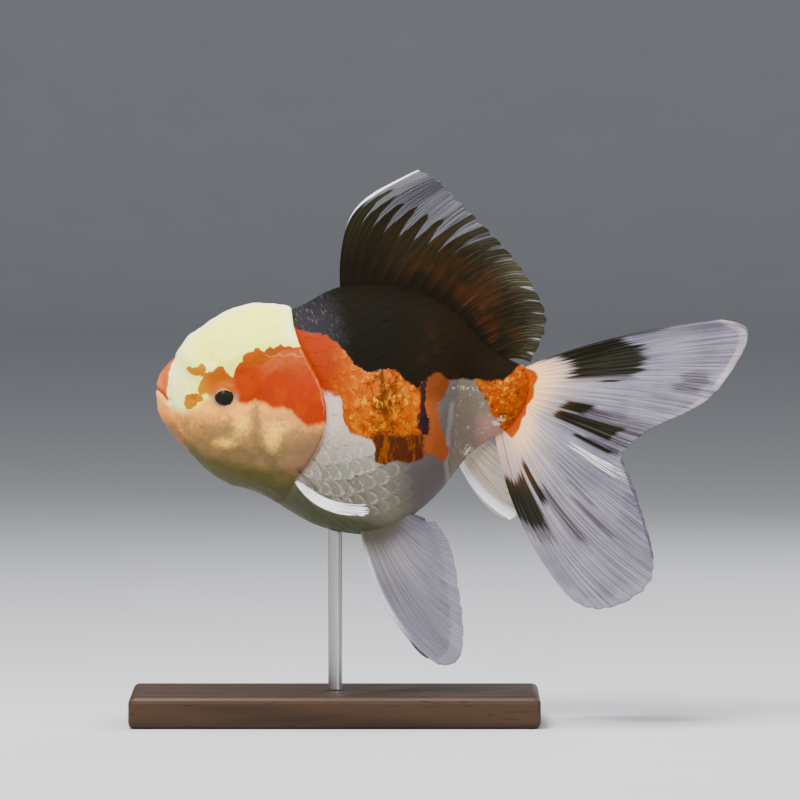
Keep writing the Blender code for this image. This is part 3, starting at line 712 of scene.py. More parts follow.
# Colours, by their share of the light that they send back.
CREAM, CAP_RIM, CHALK, PEARL = (0.95, 0.97, 0.13), (0.93, 0.86, 0.72), (0.97, 0.97, 0.55), (0.68, 0.65, 0.6)
YELLOW, AMBER, ORANGE = (0.42, 0.15, 0), (0.36, 0.076, 0), (0.31, 0.027, 0)
RED_ORANGE, SADDLE, SEAM = (0.3, 0.0205, 0), (0.235, 0.0195, 0), (0.62, 0.19, 0.1)
# The first colour on the next line is that of painted golden glints.
GOLD_GLINT, BRASS, BROWN = (0.6, 0.25, 0), (0.36, 0.064, 0), (0.062, 0.0135, 0.004)
RUST, PLUM, BLACK = (0.27, 0.06, 0.014), (0.017, 0.008, 0.01), (0.0085, 0.0062, 0.0032)
# The second colour on the next line is that of painted highlights on the dark nape.
NAPE_GREY, NAPE_HIGHLIGHT = (0.02, 0.0182, 0.0225), (0.13, 0.12, 0.14)
PEACH, FLESH, TAN = (0.95, 0.36, 0.04), (0.66, 0.29, 0.07), (0.21, 0.125, 0.038)
# The first two colours on the next line darken the throat: partly its own colour, partly painted shade of
# the underside.
THROAT_OLIVE_AND_SHADE, THROAT_DEEP_OLIVE_AND_SHADE, BLOTCH = (0.1, 0.083, 0.024), (0.074, 0.071, 0.029), (0.98, 0.54, 0.065)
LIP_ORANGE, LIP_PINK, LIP_RED = (0.42, 0.062, 0), (0.95, 0.33, 0.045), (0.55, 0.06, 0.02)
SILVER, SILVER_LOW, LILAC = (0.42, 0.345, 0.275), (0.165, 0.15, 0.105), (0.083, 0.069, 0.069)
# The first colour on the next line is the belly's dark underside: partly its own colour, partly painted
# shade.
BELLY_OLIVE_AND_SHADE, ROSE, STALK_GREY = (0.084, 0.086, 0.048), (0.58, 0.37, 0.33), (0.15, 0.13, 0.09)


def coats(base, *layers):
    """Each (share, colour) laid over what is below it, in turn."""
    for share, colour in layers:
        base = share.blend(base, colour)
    return base


def ellipse(along, up, x, y, wide, tall):
    """1 on the rim of an ellipse, less inside and more outside."""
    return (((along - x) / wide) ** 2 + ((up - y) / tall) ** 2).root()


def spots_on(base, along, up, worn, edge, colour, spots):
    """Ellipses of one colour with worn, faded edges, from (x, y, wide, tall, strength)."""
    return coats(base, *(
        ((ellipse(along, up, *spot) + worn).fade(*edge) * strength, colour)
        for *spot, strength in spots
    ))


def head_colours(place, along, up, ridge, soft, fine):
    """Hood, face, lips, the orange patches and the skin round the eye, laid over each other."""
    clouds = place.noise(210, 3, 0.6)
    cloudy = clouds - 0.5
    low = along.graph(
        (0, -3), (4, -3.6), (7, -3.8), (10.4, -2.6), (13, -0.4), (15, 1.2), (20, 1.4), (28, -1), (40, -3))
    mottled = (fine * 0.7 + clouds * 0.5).fade(0.55, 0.66) * up.fade(-2.6, -7.5)
    face = coats(
        ridge.blend(CREAM, CAP_RIM),
        (clouds.fade(0.52, 0.75) * 0.35, CHALK),
        (along.fade(11, 5) * 0.5, CHALK),
        ((up - low + cloudy * 2).fade(1.5, -1.9), PEACH),
        (along.fade(14, 29) * up.fade(-0.5, -4) * 0.7, FLESH),
        ((up + cloudy * 3).fade(-7.5, -14.5), TAN),
        (mottled * 0.8, (0.24, 0.15, 0.065)),
    )
    worn = (fine - 0.5) * 2.6 + cloudy * 1.6
    # dark grey-brown blotches; the tall narrow one at along 25.2 is painted shade in the crease between the
    # cheek and the gill cover
    face = spots_on(face, along, up, worn, (1.35, 0.35), (0.185, 0.122, 0.056), (
        (12.5, -9.5, 4, 3.5, 0.6), (17.8, -9, 4.4, 1.9, 0.75), (25.2, -7, 1.5, 6, 0.75),
        (23.5, -15.5, 8, 2.6, 0.6), (35.6, -12.5, 3, 5, 0.55), (31.2, -13.6, 3.2, 2.2, 0.5),
        (34.8, -4.9, 2.6, 1.1, 0.35),
    ))
    face = spots_on(face, along, up, (fine - 0.5) * 1.5, (1.4, 0.2), BLOTCH, (
        (21.8, -7.4, 2.2, 2.5, 1), (17.4, -12, 3, 1.4, 0.8), (20.2, -10, 2, 1.4, 0.4),
        (29.6, -10.4, 2.5, 3.8, 0.8), (31.6, -7.4, 2.8, 1.5, 0.35), (12.6, -3.4, 3, 1.2, 0.3),
    ))
    chin = up - along.graph((4, -9.4), (9, -13), (13, -15.6), (20, -17.4), (28, -18.8), (36, -19.6))
    specks = place.noise(2100, 2, 0.6).fade(0.5, 0.64) * up.fade(-4, -8)
    # lips
    lip = up.graph((-5, 3.4), (-1.8, 3), (2, 2.6), (5.3, 3.1), (9, 4.6))
    slit = up - along.graph((-1, 2), (0.4, 1.05), (1.6, -0.1), (3.4, -2.1))
    jaw = up.graph((-14, 7.8), (-10, 6.6), (-5.3, 4.4), (-1.9, 3.2))
    face = coats(
        face,
        # the throat darkens below the chin line: partly its own colour, partly painted shade of the
        # underside
        ((chin + cloudy * 2).fade(2, -1.6), THROAT_OLIVE_AND_SHADE),
        (chin.fade(-2, -5), THROAT_DEEP_OLIVE_AND_SHADE),
        (specks * chin.fade(-1, 1.5) * 0.42, (0.17, 0.105, 0.045)),
        ((along - lip).fade(0.25, -0.2) * slit.fade(-0.25, 0.15) * 0.97,
         along.fade(0.4, 2.2).blend((0.56, 0.112, 0.022), LIP_ORANGE)),
        ((along - jaw).fade(0.9, -1.2) * slit.fade(0.2, -0.3) * 0.88,
         up.fade(-4, -8.5).blend(LIP_PINK, (0.3, 0.14, 0.055))),
        (slit.size().fade(0.6, 0.1) * along.fade(3.4, 2.6), LIP_RED),
    )
    # the cheek's patch, the one over the eye and the small spots
    top = along.graph(
        (19, 1.5), (19.5, 5), (20.1, 7.2), (21, 8.3), (21.9, 8.7), (22.4, 10.3), (23.4, 11),
        (24.6, 11.2), (25.2, 12.1), (26, 12.2), (26.8, 11.4), (27.5, 11), (28.1, 12), (29, 12.5),
        (29.8, 11.9), (30.6, 12.4), (31.6, 12.9), (32.6, 12.3), (33.6, 12.7), (34.6, 12.2), (37, 12.4))
    under = along.graph(
        (19, 1.5), (19.8, -0.6), (21.2, -2), (23, -2.1), (24.8, -1.2), (27.1, -1.7), (28.6, -2.4),
        (29.5, -3.2), (32.3, -3), (34.6, -3.9), (35.8, -5.6), (37.4, -6.9), (38.6, -7.6), (40.1, -7.4),
        (42.1, -6.8), (44, -6))
    brow_top = along.graph(
        (10.6, 1.2), (11, 3.2), (12.2, 4.9), (13.2, 6.1), (14.4, 6.2), (15.6, 7.6), (16.8, 7.4),
        (17.6, 6.1), (18.6, 5.2), (19.6, 4.5), (20.6, 4.6))
    brow_low = along.graph((10.6, 1.2), (11, -0.4), (12.4, 0.4), (13.4, -0.2), (16, -0.8), (20.6, -0.6))
    brow = (up - brow_top).fade(0.22, -0.22) * (up - brow_low).fade(-0.6, 0.7)
    brow = brow * along.band(10.4, 10.8, 20.2, 20.8)
    spots = brow * along.fade(15, 11.5)
    patch = (up - top).fade(0.22, -0.22) * (up - under).fade(-0.9, 0.9) * along.fade(19, 19.4)
    patch = patch.most(brow)
    for spot in (
        (10.2, 5.8, 1.9, 0.8), (8.5, 6.6, 0.9, 0.7), (11.6, 6.7, 1, 1.3), (12.1, 5.2, 0.9, 0.6),
        (10.2, 6.4, 1.3, 0.7), (9.6, -0.4, 1.9, 0.9), (8.9, -0.7, 1.6, 1.1), (8.4, -2.2, 1.2, 1.4),
        (10.6, -1, 1.4, 0.8), (9.4, -1.9, 1.3, 1),
    ):
        spot = ellipse(along, up, *spot).fade(1.12, 0.9)
        patch, spots = patch.most(spot), spots.most(spot)
    warm = coats(
        (up + (soft - 0.5) * 4).fade(9.5, 3).blend(ORANGE, RED_ORANGE),
        ((up + clouds * 2).fade(6.5, 11.5) * along.fade(37, 25) * 0.9, AMBER),
        (up.fade(3, 8.5) * along.fade(23, 29) * 0.45, (0.21, 0.036, 0)),
        (along.fade(21, 18.5), AMBER),
        (spots, YELLOW),
        (clouds.fade(0.46, 0.62) * 0.22, AMBER),
    )
    # thin skin round the eye, with painted shadow in a narrow dark ring next to the eyeball
    raised = EYE_UP + EYE_RAISE
    far = ellipse(along, up, EYE_ALONG, raised, 1.08, 0.92)
    return coats(
        face,
        (patch, warm),
        (far.fade(4.1, 2.6) * (up - raised).fade(2.2, -0.6) * 0.55, (0.4, 0.26, 0.16)),
        (far.fade(2.9, 2.35) * 0.3, (0.14, 0.075, 0.034)),
    )


def saddle_coat(place, along, up, ragged, soft, shift):
    """The orange saddle's own colours: painted golden glints on its scales, brown low bars, dark veins and a
    plum spot.
    """
    glow = place.noise(640, 2, 0.55)
    middle = along.band(43, 52, 66, 68) * up.fade(-10.5, -8.5)
    glint_row = (up + 0.9 + shift * 2).size().fade(1.7, 0.3) * along.band(50, 54, 65, 66.5)
    glint_row = glint_row.most(ellipse(along, up, 49.3, -5.7, 1.1, 1.5).fade(1.3, 0.5))
    low = (up + ragged * 3).fade(-8.6, -10.4) * along.fade(53.5, 56)
    bars = (along * 0.75).beside(up * 0.12).noise(1, 2)
    rear = (along + ragged * 2).fade(67, 68.8)
    veins = (place.noise(260, 4, 0.7) - 0.5).size().fade(0.03, 0.006)
    veins = veins * (along - 58).size().fade(7.5, 3)
    cracks = (along * 0.85).beside(up * 0.45).noise(1, 4, 0.65).fade(0.5, 0.43)
    veins = veins.most(cracks * ellipse(along, up, 58.2, -1.5, 4.6, 8.5).fade(1.25, 0.45))
    stem = (along - 57.4 - shift * 6).size().fade(1.3, 0.5) * up.fade(-8, -3)
    waist = up.graph(
        (-10.8, -1.5), (-9.8, 0.7), (-8.2, 1.2), (-6.6, 1.7), (-5.2, 1.5), (-4, 0.7), (-2, 0.4),
        (1, 0.5), (3, 1))
    return coats(
        (along + (soft - 0.5) * 8).fade(42, 53).blend(SADDLE, BRASS),
        # painted glints: golden flecks over the middle of the saddle, and brighter ones in a row along the
        # lateral line
        (glow.fade(0.58, 0.7) * middle * 0.5, GOLD_GLINT),
        (glow.fade(0.44, 0.34) * middle * along.fade(47, 54) * 0.6, (0.22, 0.03, 0)),
        (glint_row * glow.fade(0.45, 0.6) * 0.85, GOLD_GLINT),
        (glint_row * glow.fade(0.53, 0.66) * 0.8, (0.76, 0.33, 0)),
        (low, BROWN),
        ((bars + ragged * 0.3).fade(0.48, 0.62) * low * 0.8, (0.2, 0.055, 0.003)),
        (rear, RUST),
        (rear * (up + (soft - 0.5) * 8).fade(-4.5, 1) * 0.8, (0.115, 0.028, 0.006)),
        (veins.most(stem) * 0.9, (0.038, 0.013, 0.005)),
        (((along - 67.4 - shift * 2).size() - waist + ragged * 2.2).fade(0.3, -0.3), PLUM),
    )


def flank_colours(place, along, up, ragged, other, soft, fine, shift):
    """Silver flank, belly, stalk, saddle and black back; also the masks that the scales use."""
    belly = up - along.graph(
        (28, -18), (35.3, -22.2), (38, -25.2), (41, -28.4), (48, -30.6), (54, -32.4), (60, -35.5), (74, -36))
    olive = belly.fade(1.2, -1.2)
    stalk = coats(
        up.fade(3, -6).blend(STALK_GREY, (0.16, 0.125, 0.095)),
        (along.fade(79.5, 84) * up.fade(-3, -8) * 0.85, (0.36, 0.19, 0.15)),
        # pale pearly flecks on the stalk are painted glints
        (fine.fade(0.58, 0.7) * 0.3, PEARL),
    )
    edge = along - up.graph((-26, 74.8), (-16, 74.4), (-7, 75.2), (4, 76.8), (17, 80))
    # orange saddle
    floor = along.graph(
        (34, 9), (39, 4.4), (42.2, 1), (46.6, -0.2), (47.2, -3), (47.6, -6.8), (49.2, -9),
        (52.3, -10.3), (55, -11), (55.5, -16.2), (57.4, -17.2), (60.6, -16.2), (63.6, -17),
        (66.8, -15.8), (69.8, -14.4), (71.4, -16.4), (73.2, -16.8), (74.6, -13))
    rear = up.graph(
        (-17, 73.8), (-12.7, 73.9), (-9.1, 72.3), (-5.4, 71.4), (-2.2, 70.9), (0.2, 72.9), (5, 75))
    blurred = along.fade(49, 43) * 0.9 + 0.35
    saddle = (up - floor).fade(0 - blurred, blurred) * (along - rear).fade(0.35, -0.35)
    # orange root of the tail, and pale glints on the stalk
    lobe = up.graph(
        (-13, 90), (-10, 88.4), (-8, 86.8), (-6.5, 86.4), (-4.6, 84.4), (-3, 84.6), (-1.2, 83),
        (0, 83.2), (1.6, 81.2), (3, 81), (6, 80))
    tail = (along - lobe).fade(-0.4, 0.4)
    flecks = place.noise(900, 2, 0.5)
    # golden flecks on the tail's root are painted glints, among dark brown spots
    warm = coats(
        (flecks.fade(0.58, 0.66) * along.fade(93, 89) * 0.9).blend((0.34, 0.05, 0), GOLD_GLINT),
        (flecks.fade(0.4, 0.33) * 0.85, (0.07, 0.02, 0.003)),
    )
    line = up - along.graph((76, 1.8), (81.6, 1.4), (86, -0.4))
    glint = line.size().fade(0.75, 0.2) * along.band(74.6, 75.6, 81, 82.2) * other.fade(-0.02, 0.1)
    flank = coats(
        up.fade(-6, -20).blend(SILVER, SILVER_LOW),
        (along.fade(50, 38) * up.fade(-14, 2) * 0.7, ROSE),
        # white flecks over the front of the silver flank are painted glints
        (fine.fade(0.57, 0.66) * along.fade(56, 40) * 0.45, (0.8, 0.76, 0.74)),
        ((along + up * 0.3).fade(50, 60) * 0.92, LILAC),
        # darker towards the belly's outline and dark below it: partly the fish's own colour, partly painted
        # shade of the underside
        (belly.fade(4, 0) * 0.6, (0.11, 0.1, 0.07)),
        (olive, BELLY_OLIVE_AND_SHADE),
        (edge.fade(-0.5, 0.6), stalk),
        ((edge + 0.9).size().fade(1, 0.1) * up.fade(0, -3) * 0.3, (0.42, 0.36, 0.31)),
        (saddle, saddle_coat(place, along, up, ragged, soft, shift)),
        (tail, warm),
        (glint * 0.7, (0.55, 0.55, 0.44)),
    )
    # three pale spots on the stalk and the tail's root are painted glints
    flank = spots_on(flank, along, up, other * -5, (1, 0.3), (0.72, 0.7, 0.58), (
        (87.2, -6.4, 1.5, 0.7, 0.6), (86, -7.6, 1.2, 0.5, 0.6), (79, -14.8, 1.4, 1.4, 0.6),
    ))
    # black back
    back = up - along.graph(
        (33, 17.6), (35.3, 17.2), (38.6, 15.6), (41, 15.8), (43.4, 15), (46.3, 12.6), (47.9, 10.6),
        (50.3, 7.7), (53.2, 5.7), (55.6, 6.3), (59.2, 7.1), (61.3, 5.9), (63.7, 3.5), (66.1, 1.9),
        (68, 4.6), (71.8, 6), (74, 4), (77, 4), (82, 3.6), (85, 3.4), (88.2, 3.6),
        (90.6, 6.2), (92.3, 7.4), (96, 9.5))
    dark = back.fade(-0.35, 0.35)
    nape = (along + (soft - 0.5) * 8).fade(51, 41) * back.fade(14, 2)
    coal = coats(
        along.fade(60, 76).blend((0.0057, 0.0046, 0.0023), (0.012, 0.0072, 0.0037)),
        (nape * 0.9, NAPE_GREY),
        (soft.fade(0.55, 0.75) * along.fade(62, 80) * 0.5, (0.06, 0.018, 0.004)),
    )
    masks = dict(saddle=saddle, dark=dark, tail=tail, nape=nape, olive=olive)
    return dark.blend(flank, coal), masks


def markings(place):
    """The colours of the fish at a place in the frame, from lines on its side, and some masks."""
    x, y, z = place.parts()
    plain_along, plain_up = (x - SNOUT_X) * (1 / UNIT), (z - AXIS_Z) * (1 / UNIT)
    ragged = place.noise(520, 3, 0.6) - 0.5
    other = place.noise(1100, 2, 0.6) - 0.5
    shift = place.noise(260, 1) - 0.5
    along = plain_along + ragged + shift * 0.9
    up = plain_up + ragged * 0.9 - other * 0.7 - shift * 0.6
    soft, fine = place.noise(90, 3), place.noise(900, 4, 0.7)
    ridge = (y.size() * (1 / UNIT) + (soft - 0.5) * 9).fade(9, 1) * 0.75
    face = head_colours(place, along, up, ridge, soft, fine)
    flank, masks = flank_colours(place, along, up, ragged, other, soft, fine, shift)

    past = plain_along - plain_up.graph(
        (-33, 29.5), (-21, 35.4), (-17.6, 38.2), (-14.1, 40.4), (-10.2, 42.2), (-6.4, 43.2), (-2.4, 43.1),
        (1.5, 42.2), (5.3, 40.4), (9.4, 38.2), (13.2, 36.1), (17.6, 34.7), (22.5, 33.9), (27, 33.4))
    seam = (past + 0.55 + ragged * 1.8).size().fade(0.34, 0.06) * plain_up.band(-6, -3, 11.4, 12.4)
    arch = plain_along.graph((27, 10.4), (29, 9.6), (31, 10.4), (34, 10.2), (37.4, 9.8))
    arch = (plain_up - arch + ragged * 3.4).size().fade(0.3, 0.06) * plain_along.band(26.6, 28, 37, 38)
    broken = soft.fade(0.35, 0.6) * 0.22 + 0.22
    rear = past + ragged * 3
    face = coats(
        face,
        (seam.most(arch) * broken, SEAM),
        ((past + 1).size().fade(1.8, 0.3) * plain_up.fade(12.5, 15) * 0.7, CHALK),
        (rear.fade(-8, -1) * plain_up.band(-22, -18.5, -10.5, -6.5) * 0.88, (0.175, 0.088, 0.048)),
    )
    shade = rear.fade(4.5, 0) * plain_up.band(-24, -21, -12, -7)
    # at the pectoral fin's base the crease is dark red-brown: partly the skin's own red, partly painted
    # shade in the crease
    crease = plain_up - plain_along.graph((35.5, -18.4), (38.6, -21.6), (41.6, -24.6))
    crease_red_and_shade = crease.size().fade(1, 0.2) * plain_along.band(35.4, 36.4, 40.6, 42.4)
    colour = coats(
        face,
        (past.fade(-0.1, 0.1), (shade * 0.6).blend(flank, (0.27, 0.17, 0.125))),
        (crease_red_and_shade * 0.85, (0.085, 0.035, 0.03)),
    )
    return colour, dict(masks, past=past, up=plain_up, along=plain_along)


def skin_material():
    board = Board("wet_skin")
    colour, at = markings(board.place)
    values = {"Vector": board.place, "Scale": 760, "Smoothness": 0.7}
    pores = board.add("ShaderNodeTexVoronoi", {"feature": "SMOOTH_F1"}, values)
    hood = at["up"].fade(3, 8).most(at["up"].fade(-3, -7) * 0.7)
    height = (1 - pores) * (0.15 + hood * 0.85) + board.place.noise(1500, 3) * 0.22
    return board.finish(
        Base_Color=colour, Roughness=0.5 + board.place.noise(300, 2) * 0.14,
        Normal=height.bump(0.00014, 0.7), Coat_Weight=at["past"].fade(0.1, -0.1) * 0.02,
        Coat_Roughness=0.2, Specular_IOR_Level=0.04, Subsurface_Weight=0.12, Subsurface_Scale=0.002,
    )


def scale_material():
    """Each scale takes its colour mostly from its root, then has its own arc, rings and shine."""
    board = Board("pearly_scales")
    own = board.place
    root = board.add("ShaderNodeAttribute", {"attribute_name": "root_place"}, {}, "Vector")
    place = board.add("ShaderNodeMix", {"data_type": "VECTOR"}, {0: 0.88, 4: root, 5: own}, 1)
    colour, at = markings(place)
    along, up = at["along"], at["up"]
    tone = board.add("ShaderNodeAttribute", {"attribute_name": "tone"}, {}, "Fac")
    across, back, _ = board.add("ShaderNodeUVMap", {"uv_map": "plate"}, {}).parts()
    bare = 1 - at["dark"]
    warm = at["saddle"].most(at["tail"]) * bare
    # the free end carries a painted highlight, a pale arc just inside its dark edge, and rings of growth run
    # round the root
    far = (((across - 0.5) * 1.15) ** 2 + (back * 0.92) ** 2).root()
    highlight_noise = own.noise(1100, 2).fade(0.42, 0.62)
    light = (1 - warm) * bare * (1 - at["olive"]) * up.fade(-32, -26) * along.fade(66, 54)
    low = up.fade(-12, -18)
    shine = (along * 2.4 - up * 0.5).beside(up * 0.8).noise(1, 3, 0.6).fade(0.56, 0.72)
    rich = warm * along.band(41, 52, 66, 68) * up.fade(-10.5, -8.5)
    rich = rich.most(at["tail"] * warm * 0.8)
    sparkle = far.band(0.6, 0.78, 0.86, 0.95) * highlight_noise * rich
    highlight_dashes = (along * 2.2 + up * 0.8).beside(up * 0.55).noise(1, 2).fade(0.56, 0.7)
    tint = coats(
        colour,
        (tone * 0.12 * light, PEARL),
        # painted highlight: a pale arc near each scale's free end
        (far.band(0.74, 0.84, 0.9, 0.97) * light * (0.01 + highlight_noise * 0.05 + low * (0.06 + highlight_noise * 0.2)), PEARL),
        (shine * light * (0.48 - low * 0.3), (0.88, 0.84, 0.82)),
        # painted glints near the rims of the saddle's scales
        (sparkle * tone * 0.55, GOLD_GLINT),
        # painted shade on the root of each saddle scale, under the edge of the scale before it
        (far.fade(0.66, 0.5) * rich * 0.28, (0.17, 0.026, 0)),
        # painted highlights: short pale strokes over the dark nape
        (highlight_dashes * at["nape"] * at["dark"] * 0.42, NAPE_HIGHLIGHT),
    )
    height = (far * 80).wave() * 0.25 + own.noise(2200, 2) * 0.35
    rough = 0.45 + own.noise(500, 2) * 0.2 - rich * 0.12 + at["dark"] * 0.2
    return board.finish(
        Base_Color=tint, Roughness=rough, Metallic=rich * 0.1 + light * 0.06,
        Normal=height.bump(0.00003, 0.4), Coat_Weight=light * 0.05 + rich * 0.03,
        Coat_Roughness=0.2, Specular_IOR_Level=0.03,
    )


# ---------------------------------------------------------------- fins' materials


def fin_material(name, colour_of, solid_of):
    """A rayed membrane: the rays are more solid than the skin between them."""
    board = Board(name)
    across, out, _ = board.add("ShaderNodeUVMap", {"uv_map": "fan"}, {}).parts()
    ray = board.add("ShaderNodeAttribute", {"attribute_name": "ray"}, {}, "Fac")
    joints = (out * 170).wave() * 0.5 + 0.5
    height = ray + joints * ray * 0.2 + board.place.noise(2400, 2) * 0.3
    return board.finish(
        Base_Color=colour_of(across, out, board.place), Alpha=solid_of(across, out, ray),
        Roughness=0.45 + board.place.noise(400) * 0.12, Normal=height.bump(0.00006, 0.4),
        Specular_IOR_Level=0.04,
    )


def fine_lines(across, count, out):
    """Thin lines that run along the rays, from 0 between them to 1 on them."""
    grain = (across * count).beside(out * 1.5).noise(1, 3, 0.65, noise_dimensions="2D")
    return grain.fade(0.36, 0.66)


def stroke(across, out, centre, half, start, end, ragged):
    """A stroke along the rays: across within half of centre, out from start to end."""
    wide = (across - centre).size().fade(half * 1.2, half * 0.8)
    return wide * (out + ragged).band(start - 0.025, start + 0.03, end - 0.03, end + 0.03)


def strokes(across, out, ragged, first, *others):
    """The most solid of some strokes at each place."""
    total = stroke(across, out, *first, ragged)
    for parts in others:
        total = total.most(stroke(across, out, *parts, ragged))
    return total


def tail_marks(across, out):
    """The tail's black strokes, its faint grey ones, and the lines that fray them."""
    frayed = fine_lines(across, 60, out * 0.2)
    ragged = (frayed - 0.5) * 0.05
    dark = stroke(across, out, 0.105, 0.118, 0.19, 0.515, ragged).most(strokes(
        across, out, ragged * 0.7,
        (0.236, 0.006, 0.36, 0.46), (0.35, 0.02, 0.25, 0.44), (0.404, 0.026, 0.26, 0.82),
        (0.468, 0.01, 0.52, 0.9), (0.925, 0.098, 0.27, 0.53), (0.845, 0.024, 0.24, 0.5),
        (0.79, 0.014, 0.19, 0.42),
    ))
    faint = strokes(
        across, out, ragged,
        (0.36, 0.017, 0.38, 1.02), (0.225, 0.03, 0.76, 0.92), (0.765, 0.015, 0.34, 0.66),
        (0.405, 0.024, 0.78, 1.02), (0.672, 0.006, 0.42, 0.62), (0.92, 0.09, 0.5, 0.6),
        (0.458, 0.014, 0.62, 0.96), (0.7, 0.008, 0.48, 0.78),
    )
    return dark, faint, frayed


def tail_colour(across, out, place):
    lines = fine_lines(across, 230, out)
    dark, faint, frayed = tail_marks(across, out)
    clouds = place.noise(110, 2)
    margin = out.fade(0.95, 0.965) * across.fade(0.33, 0.26)
    warm_start = out.fade(0.38, 0.24) * across.fade(0.3, 0.34)
    ink = (warm_start * 0.55).blend((0.0085, 0.008, 0.0036), (0.055, 0.022, 0.006))
    ribs = frayed.fade(0.9, 1) * out.fade(0.34, 0.5)
    # a painted highlight along the crease between the upper and lower lobes
    fold_highlight = stroke(across, out, 0.535, 0.018, 0.62, 1.02, (lines - 0.5) * 0.3)
    vessel = stroke(across + (clouds - 0.5) * 0.05, out, 0.905, 0.006, 0, 0.27, 0)
    # the stalk's orange runs out over the root in lobes
    lobed = out - across.graph(
        (0, 0.03), (0.1, 0.052), (0.18, 0.06), (0.26, 0.046), (0.34, 0.062), (0.44, 0.048),
        (0.54, 0.068), (0.62, 0.05), (0.7, 0.066), (0.8, 0.076), (0.86, 0.03), (0.92, 0), (1, 0))
    return coats(
        clouds.fade(0.35, 0.65).blend((0.104, 0.098, 0.134), (0.176, 0.168, 0.212)),
        (across.fade(0.55, 0.75) * out.fade(1, 0.4) * 0.5, (0.21, 0.19, 0.205)),
        (out.fade(0.42, 0.12) * 0.8, (0.46, 0.34, 0.29)),
        (out.fade(0.22, 0.06), (0.96, 0.55, 0.19)),
        (across.fade(0.72, 0.88) * out.fade(0.34, 0.16) * 0.7, (0.4, 0.25, 0.2)),
        (lines * 0.34, (0.46, 0.42, 0.49)),
        ((1 - lines) * out.fade(0.15, 0.6) * 0.4, (0.09, 0.078, 0.11)),
        (margin * 0.5 * clouds.fade(0.3, 0.6), (0.58, 0.46, 0.48)),
        (faint * (0.45 + (1 - lines) * 0.5), (0.045, 0.034, 0.042)),
        (dark * (1 - ribs * 0.16), ink),
        (across.fade(0.01, 0.003) * out.band(0.1, 0.16, 0.7, 0.8) * 0.9, (0.02, 0.017, 0.013)),
        (fold_highlight * lines.fade(0.35, 0.8) * 0.95, (0.98, 0.98, 0.92)),
        (vessel * 0.75, (0.3, 0.03, 0.02)),
        (lobed.fade(0.008, -0.004), place.noise(700, 2).fade(0.54, 0.66).blend((0.34, 0.046, 0), AMBER)),
    )


def tail_solid(across, out, ray):
    lines = fine_lines(across, 230, out)
    dark, faint, _ = tail_marks(across, out)
    solid = 0.72 + lines * 0.12 + ray * 0.18 + out.fade(0.25, 0) * 0.3 - out.fade(0.5, 1) * 0.1
    return solid.most(dark * 0.98).most(faint * 0.85).least(1)


def pale_colour(across, out, place):
    lines = fine_lines(across, 150, out)
    return coats(
        out.fade(0.15, 0.75).blend((0.25, 0.22, 0.235), (0.155, 0.155, 0.205)),
        (lines * 0.38, (0.4, 0.38, 0.44)),
        ((1 - lines) * out.fade(0.08, 0.3) * 0.35, (0.13, 0.11, 0.14)),
        (across.fade(0.052, 0.014) * out.fade(0.8, 0.45), (0.8, 0.79, 0.86)),
        # the root darkens where it meets the belly: partly its own colour, partly painted shade under the
        # belly
        (out.fade(0.28, 0.08) * 0.85, (0.105, 0.09, 0.048)),
    )


def pale_solid(across, out, ray):
    lines = fine_lines(across, 150, out)
    solid = 0.72 + lines * 0.12 + ray * 0.18 + across.fade(0.08, 0) * 0.4
    return (solid + out.fade(0.2, 0) * 0.4).least(1)


def pelvic_solid(across, out, ray):
    return pale_solid(across, out, ray) - out.fade(0.35, 0.8) * 0.12


def white_colour(across, out, place):
    lines = fine_lines(across, 40, out)
    apart = fine_lines(across, 13, out * 0.1).fade(0.3, 0.08) * out.fade(0.66, 0.84)
    return coats(
        (lines * 0.7).blend((0.7, 0.67, 0.74), (0.98, 0.98, 0.98)),
        (lines.fade(0.42, 0.1) * out.fade(0.45, 0.8) * 0.85, (0.1, 0.085, 0.11)),
        (apart * 0.9, (0.045, 0.042, 0.032)),
    )


def anal_colour(across, out, place):
    lines = fine_lines(across, 60, out)
    return coats(
        out.fade(0.1, 0.8).blend((0.44, 0.35, 0.26), (0.32, 0.29, 0.27)),
        (lines * 0.35, (0.62, 0.55, 0.46)),
        (lines.fade(0.16, 0.02) * 0.6, (0.25, 0.13, 0.05)),
        (across.fade(0.24, 0.08) * 0.85, (0.9, 0.88, 0.94)),
    )


DORSAL_COUNT = 18


def dorsal_wedges(across, out):
    """Clear wedges between the rays: each starts part of the way up and widens to the margin."""
    phase = across * DORSAL_COUNT
    saw = phase.zigzag(0.5) * 2
    uneven = (phase * 0.9).beside(0).noise(1, 2) - 0.5
    begin = uneven * 0.2 + across.graph(
        (0, 0.56), (0.05, 0.44), (0.12, 0.38), (0.34, 0.4), (0.46, 0.44), (0.53, 0.66), (0.8, 0.66),
        (1, 0.62))
    rise, ends = out.fade(begin, begin + 0.34), out.fade(begin + 0.3, begin + 0.44)
    spread = across.graph(
        (0, 0.7), (0.22, 0.66), (0.4, 0.56), (0.5, 0.36), (0.58, 0.22), (0.85, 0.24), (1, 0.18))
    beyond = across.graph((0, 1.2), (0.14, 1.2), (0.26, 0.9), (0.38, 0.25), (0.5, 0), (1, 0))
    width = rise * spread * (1 + uneven * (1.6 + across.fade(0.4, 0.6) * 3)) + ends * beyond
    strands = fine_lines(across, 150, out * 0.6) - 0.5
    return (saw + strands * 0.14).fade(1.02 - width, 1.14 - width) * rise.fade(0, 0.06)


